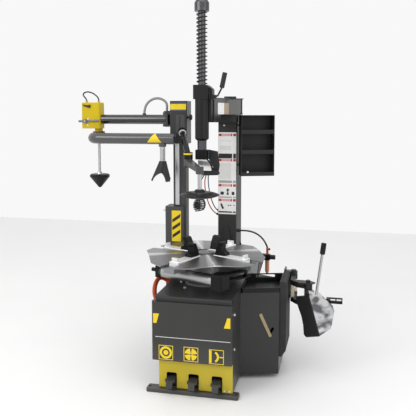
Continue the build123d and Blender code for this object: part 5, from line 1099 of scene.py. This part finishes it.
class WORKSHOP_OT_arm_films(WorkshopOperator):
    """Add the plain films on the tower's cover, the swing arm, the carriage and the forearm"""

    bl_idname = "workshop.arm_films"
    bl_label = "Add the arms' films"

    def assist_plate(self, film):
        """Yellow plate with slanted dark stripes on the tower's cover."""
        left, right = ASSIST_PLATE[0] + MARGIN, ASSIST_PLATE[1] - MARGIN
        thick = film * 3
        piece = Piece("assist_plate")
        piece.films(
            "yellow_film", front(COVER_FRONT), thick, rounded_box(*ASSIST_PLATE, 0.004), rim=FILM_RIM * 2)
        for foot in STRIPE_FEET:
            stripe = ((left, foot), (right, foot + 0.036), (right, foot + 0.058), (left, foot + 0.022))
            piece.films("dark_film", front(COVER_FRONT - thick), film, stripe)
        piece.finish_off("machine", "yellow_plastic")

    def arm_patches(self, film):
        """White and tan patches on the swing arm's side."""
        side = Matrix.Translation(ARM_SIDE) @ ARM_TURN
        piece = Piece("arm_patch")
        for finish, left, right in (("white_film", 0.052, 0.148), ("tan_film", 0.150, 0.222)):
            piece.films(finish, side, film, rounded_box(left, right, -0.021, 0.048, 0.004))
        piece.finish_off("arm", "aluminium")

    def carriage_band(self, film):
        """Yellow band between thin dark lines across the carriage."""
        left, right = CARRIAGE_LEFT + MARGIN, CARRIAGE_RIGHT - MARGIN
        piece = Piece("carriage_band")
        for finish, low, high in (
            ("yellow_film", 1.532, 1.567), ("slate_film", 1.524, 1.531), ("slate_film", 1.568, 1.576),
        ):
            piece.films(finish, front(CARRIAGE_FRONT), film, rounded_box(left, right, low, high, 0.001, 2))
        piece.finish_off("lift", "yellow_plastic")

    def forearm_patch(self, film):
        """Plain yellow patch wrapped on the front of the forearm, narrower towards its top."""
        middle = FOREARM_MIDDLE
        out = Vector((0.0, -math.cos(PATCH_START), math.sin(PATCH_START)))
        half = Vector((patch_half(PATCH_START), 0.0, 0.0))
        inner, outer = middle + out * FOREARM_RADIUS, middle + out * (FOREARM_RADIUS + film)
        piece = Piece("forearm_patch").paint(FINISHES["yellow_film"])
        corners = [
            piece.mesh.verts.new(place)
            for place in (inner - half, inner + half, outer + half, outer - half)]
        for pair in zip(corners, corners[1:] + corners[:1]):
            piece.mesh.edges.new(pair)
        piece.sweep(corners, middle, (-1, 0, 0), PATCH_END - PATCH_START, PATCH_STEPS)
        piece.close(len(corners))
        for vert in piece.mesh.verts:
            off = vert.co - middle
            vert.co.x = middle.x + math.copysign(patch_half(math.atan2(off.z, -off.y)), off.x)
        piece.finish_off("reach", "yellow_plastic", sharp_from=30)

    def execute(self, context):
        film = settings().labels.film
        self.assist_plate(film)
        self.arm_patches(film)
        self.carriage_band(film)
        self.forearm_patch(film)
        return {"FINISHED"}


THIRD_START = Vector((-0.224, 0.340, 1.400))
THIRD_AXIS = (Vector((-0.122, 0.100, 1.262)) - THIRD_START).normalized()
TURNED_FITTINGS = (
    # name, finish, body, slot, steps, seat, radius and height pairs
    ("third_arm_ring", "white_film", "lift", "aluminium", 40,
     facing(THIRD_START + THIRD_AXIS * 0.027, THIRD_AXIS),
     ((0.0176, 0.0), (0.0225, 0.0), (0.0235, 0.001), (0.0235, 0.005), (0.0225, 0.006), (0.0176, 0.006))),
    ("tower_pin", "white_film", "machine", "aluminium", 24,
     facing((-0.334, 0.400, 0.884), (-1, 0, 0)),
     ((0, 0), (0.0045, 0), (0.0045, 0.022), (0.007, 0.023), (0.007, 0.031), (0.006, 0.032), (0, 0.032))),
    ("carriage_knob", "plastic", "lift", "black_plastic", 32,
     facing((CARRIAGE_RIGHT, 0.380, 1.484), (1, 0, 0)),
     ((0, 0), (0.006, 0), (0.006, 0.008), (0.017, 0.009), (0.018, 0.011), (0.018, 0.019), (0.015, 0.022),
      (0, 0.022))),
)


class WORKSHOP_OT_turned_fittings(WorkshopOperator):
    """Add the third arm's white ring, the tower's white pin and the carriage's black knob"""

    bl_idname = "workshop.turned_fittings"
    bl_label = "Add the turned fittings"

    def execute(self, context):
        for name, finish, body, slot, steps, seat, profile in TURNED_FITTINGS:
            piece = Piece(name).paint(FINISHES[finish])
            piece.lathe(profile, seat, steps)
            piece.finish_off(body, slot, sharp_from=30)
        return {"FINISHED"}


# -------- spring
SPRING_AXIS = (-0.046, 0.130)
TURN_STEPS = 40
WIRE_SIDES = 12


class WORKSHOP_OT_spring(WorkshopOperator):
    """Wind the return spring of the tool shaft"""

    bl_idname = "workshop.spring"
    bl_label = "Wind the return spring"

    def execute(self, context):
        sizes = settings().spring
        rise = (sizes.top - sizes.foot - sizes.wire * 2) / sizes.turns
        axis = Vector((*SPRING_AXIS, sizes.foot + sizes.wire))
        start = axis + Vector((sizes.radius, 0.0, 0.0))
        heading = Vector((0.0, sizes.radius, rise / math.tau))
        piece = Piece("spring_wire").paint(FINISHES["plastic"])
        section = bmesh.ops.create_circle(
            piece.mesh, segments=WIRE_SIDES, radius=sizes.wire, matrix=facing(start, heading))["verts"]
        piece.sweep(section, axis, (0, 0, 1), math.tau, TURN_STEPS, rise)
        one_turn = piece.mesh.verts[:] + piece.mesh.edges[:] + piece.mesh.faces[:]
        for turn in range(1, sizes.turns):
            copied = bmesh.ops.duplicate(piece.mesh, geom=one_turn)["geom"]
            verts = [item for item in copied if isinstance(item, bmesh.types.BMVert)]
            bmesh.ops.translate(piece.mesh, vec=(0.0, 0.0, rise * turn), verts=verts)
        piece.close(WIRE_SIDES)
        made = piece.finish_off("arm", "black_plastic")
        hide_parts("return_spring")
        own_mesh(made)
        return {"FINISHED"}


# -------- stage
class WORKSHOP_OT_stage(WorkshopOperator):
    """Lay the pale floor and hang the lights"""

    bl_idname = "workshop.stage"
    bl_label = "Lay the floor and hang the lights"

    def area_light(self, name, place, aim, size, power, colour):
        """One soft lamp aimed at a point."""
        data = bpy.data.lights.new(name, "AREA")
        data.shape = "RECTANGLE"
        data.size, data.size_y = size
        data.energy = power
        data.color = colour
        made = link_object(name, data)
        made.location = place
        made.rotation_euler = (Vector(aim) - Vector(place)).to_track_quat("-Z", "Y").to_euler()

    def floor_sheet(self, width):
        """The pale floor."""
        floor = Finish("studio_floor")
        cloud = floor.noise(1.2)
        grain = floor.noise(60.0)
        floor.surface(
            Base_Color=floor.blend(cloud, (0.80, 0.80, 0.80), (0.86, 0.86, 0.86)),
            Roughness=grain * 0.1 + 0.5,
        )
        sheet = bmesh.new()
        bmesh.ops.create_grid(sheet, x_segments=4, y_segments=4, size=width / 2)
        data = bpy.data.meshes.new("floor_sheet")
        sheet.to_mesh(data)
        sheet.free()
        data.materials.append(floor.material)
        link_object("floor_sheet", data)

    def execute(self, context):
        sizes = settings().stage
        self.floor_sheet(sizes.floor)
        for name, place, aim, size, power, colour in (
            ("key_lamp", (-2.6, -3.0, 3.4), (0, 0, 0.9), (2.4, 2.4), sizes.key, (1.0, 0.99, 0.97)),
            ("fill_lamp", (3.2, -2.2, 2.2), (0, 0, 0.9), (2.0, 2.6), sizes.fill, (0.97, 0.98, 1.0)),
            ("top_lamp", (0.2, -0.4, 4.2), (0, 0, 0.6), (2.6, 2.6), sizes.fill, (1.0, 1.0, 1.0)),
        ):
            self.area_light(name, place, aim, size, power, colour)
        world = bpy.data.worlds.new("studio_world")
        world.use_nodes = True
        sky = world.node_tree.nodes["Background"]
        sky.inputs["Color"].default_value = (1.0, 1.0, 1.0, 1.0)
        sky.inputs["Strength"].default_value = sizes.sky
        bpy.context.scene.world = world
        bpy.context.scene.view_settings.view_transform = "Standard"
        return {"FINISHED"}


# -------- panel and run
class WORKSHOP_PT_dresser(bpy.types.Panel):
    """Sidebar with the dresser's settings and steps"""

    bl_idname = "WORKSHOP_PT_dresser"
    bl_label = "Tyre changer"
    bl_space_type = "VIEW_3D"
    bl_region_type = "UI"
    bl_category = "Workshop"

    def draw(self, context):
        for name in WorkshopSettings.__annotations__:
            box = self.layout.box()
            owner = getattr(context.scene.workshop, name)
            for key in owner.__annotations__:
                box.prop(owner, key)
        for operator in OPERATORS:
            self.layout.operator(operator.bl_idname)


GROUPS = (
    PaletteSettings, ViewSettings, CordSettings, FastenerSettings, SpringSettings, LabelSettings,
    StageSettings, WorkshopSettings,
)
OPERATORS = (
    WORKSHOP_OT_camera, WORKSHOP_OT_finishes, WORKSHOP_OT_cords, WORKSHOP_OT_fasteners,
    WORKSHOP_OT_column_plate, WORKSHOP_OT_panel_films, WORKSHOP_OT_fitted_plates,
    WORKSHOP_OT_arm_films, WORKSHOP_OT_turned_fittings, WORKSHOP_OT_spring, WORKSHOP_OT_stage,
)


def register():
    """Register the add-on."""
    for item in GROUPS + OPERATORS + (WORKSHOP_PT_dresser,):
        bpy.utils.register_class(item)
    bpy.types.Scene.workshop = group("Workshop", WorkshopSettings)


def unregister():
    """Remove the add-on."""
    del bpy.types.Scene.workshop
    for item in reversed(GROUPS + OPERATORS + (WORKSHOP_PT_dresser,)):
        bpy.utils.unregister_class(item)


def main():
    """Dress the packed model."""
    register()
    for operator in OPERATORS:
        family, action = operator.bl_idname.split(".")
        result = getattr(getattr(bpy.ops, family), action)()
        if result != {"FINISHED"}:
            raise RuntimeError(f"{operator.bl_idname} did not finish")


if __name__ == "__main__":
    main()
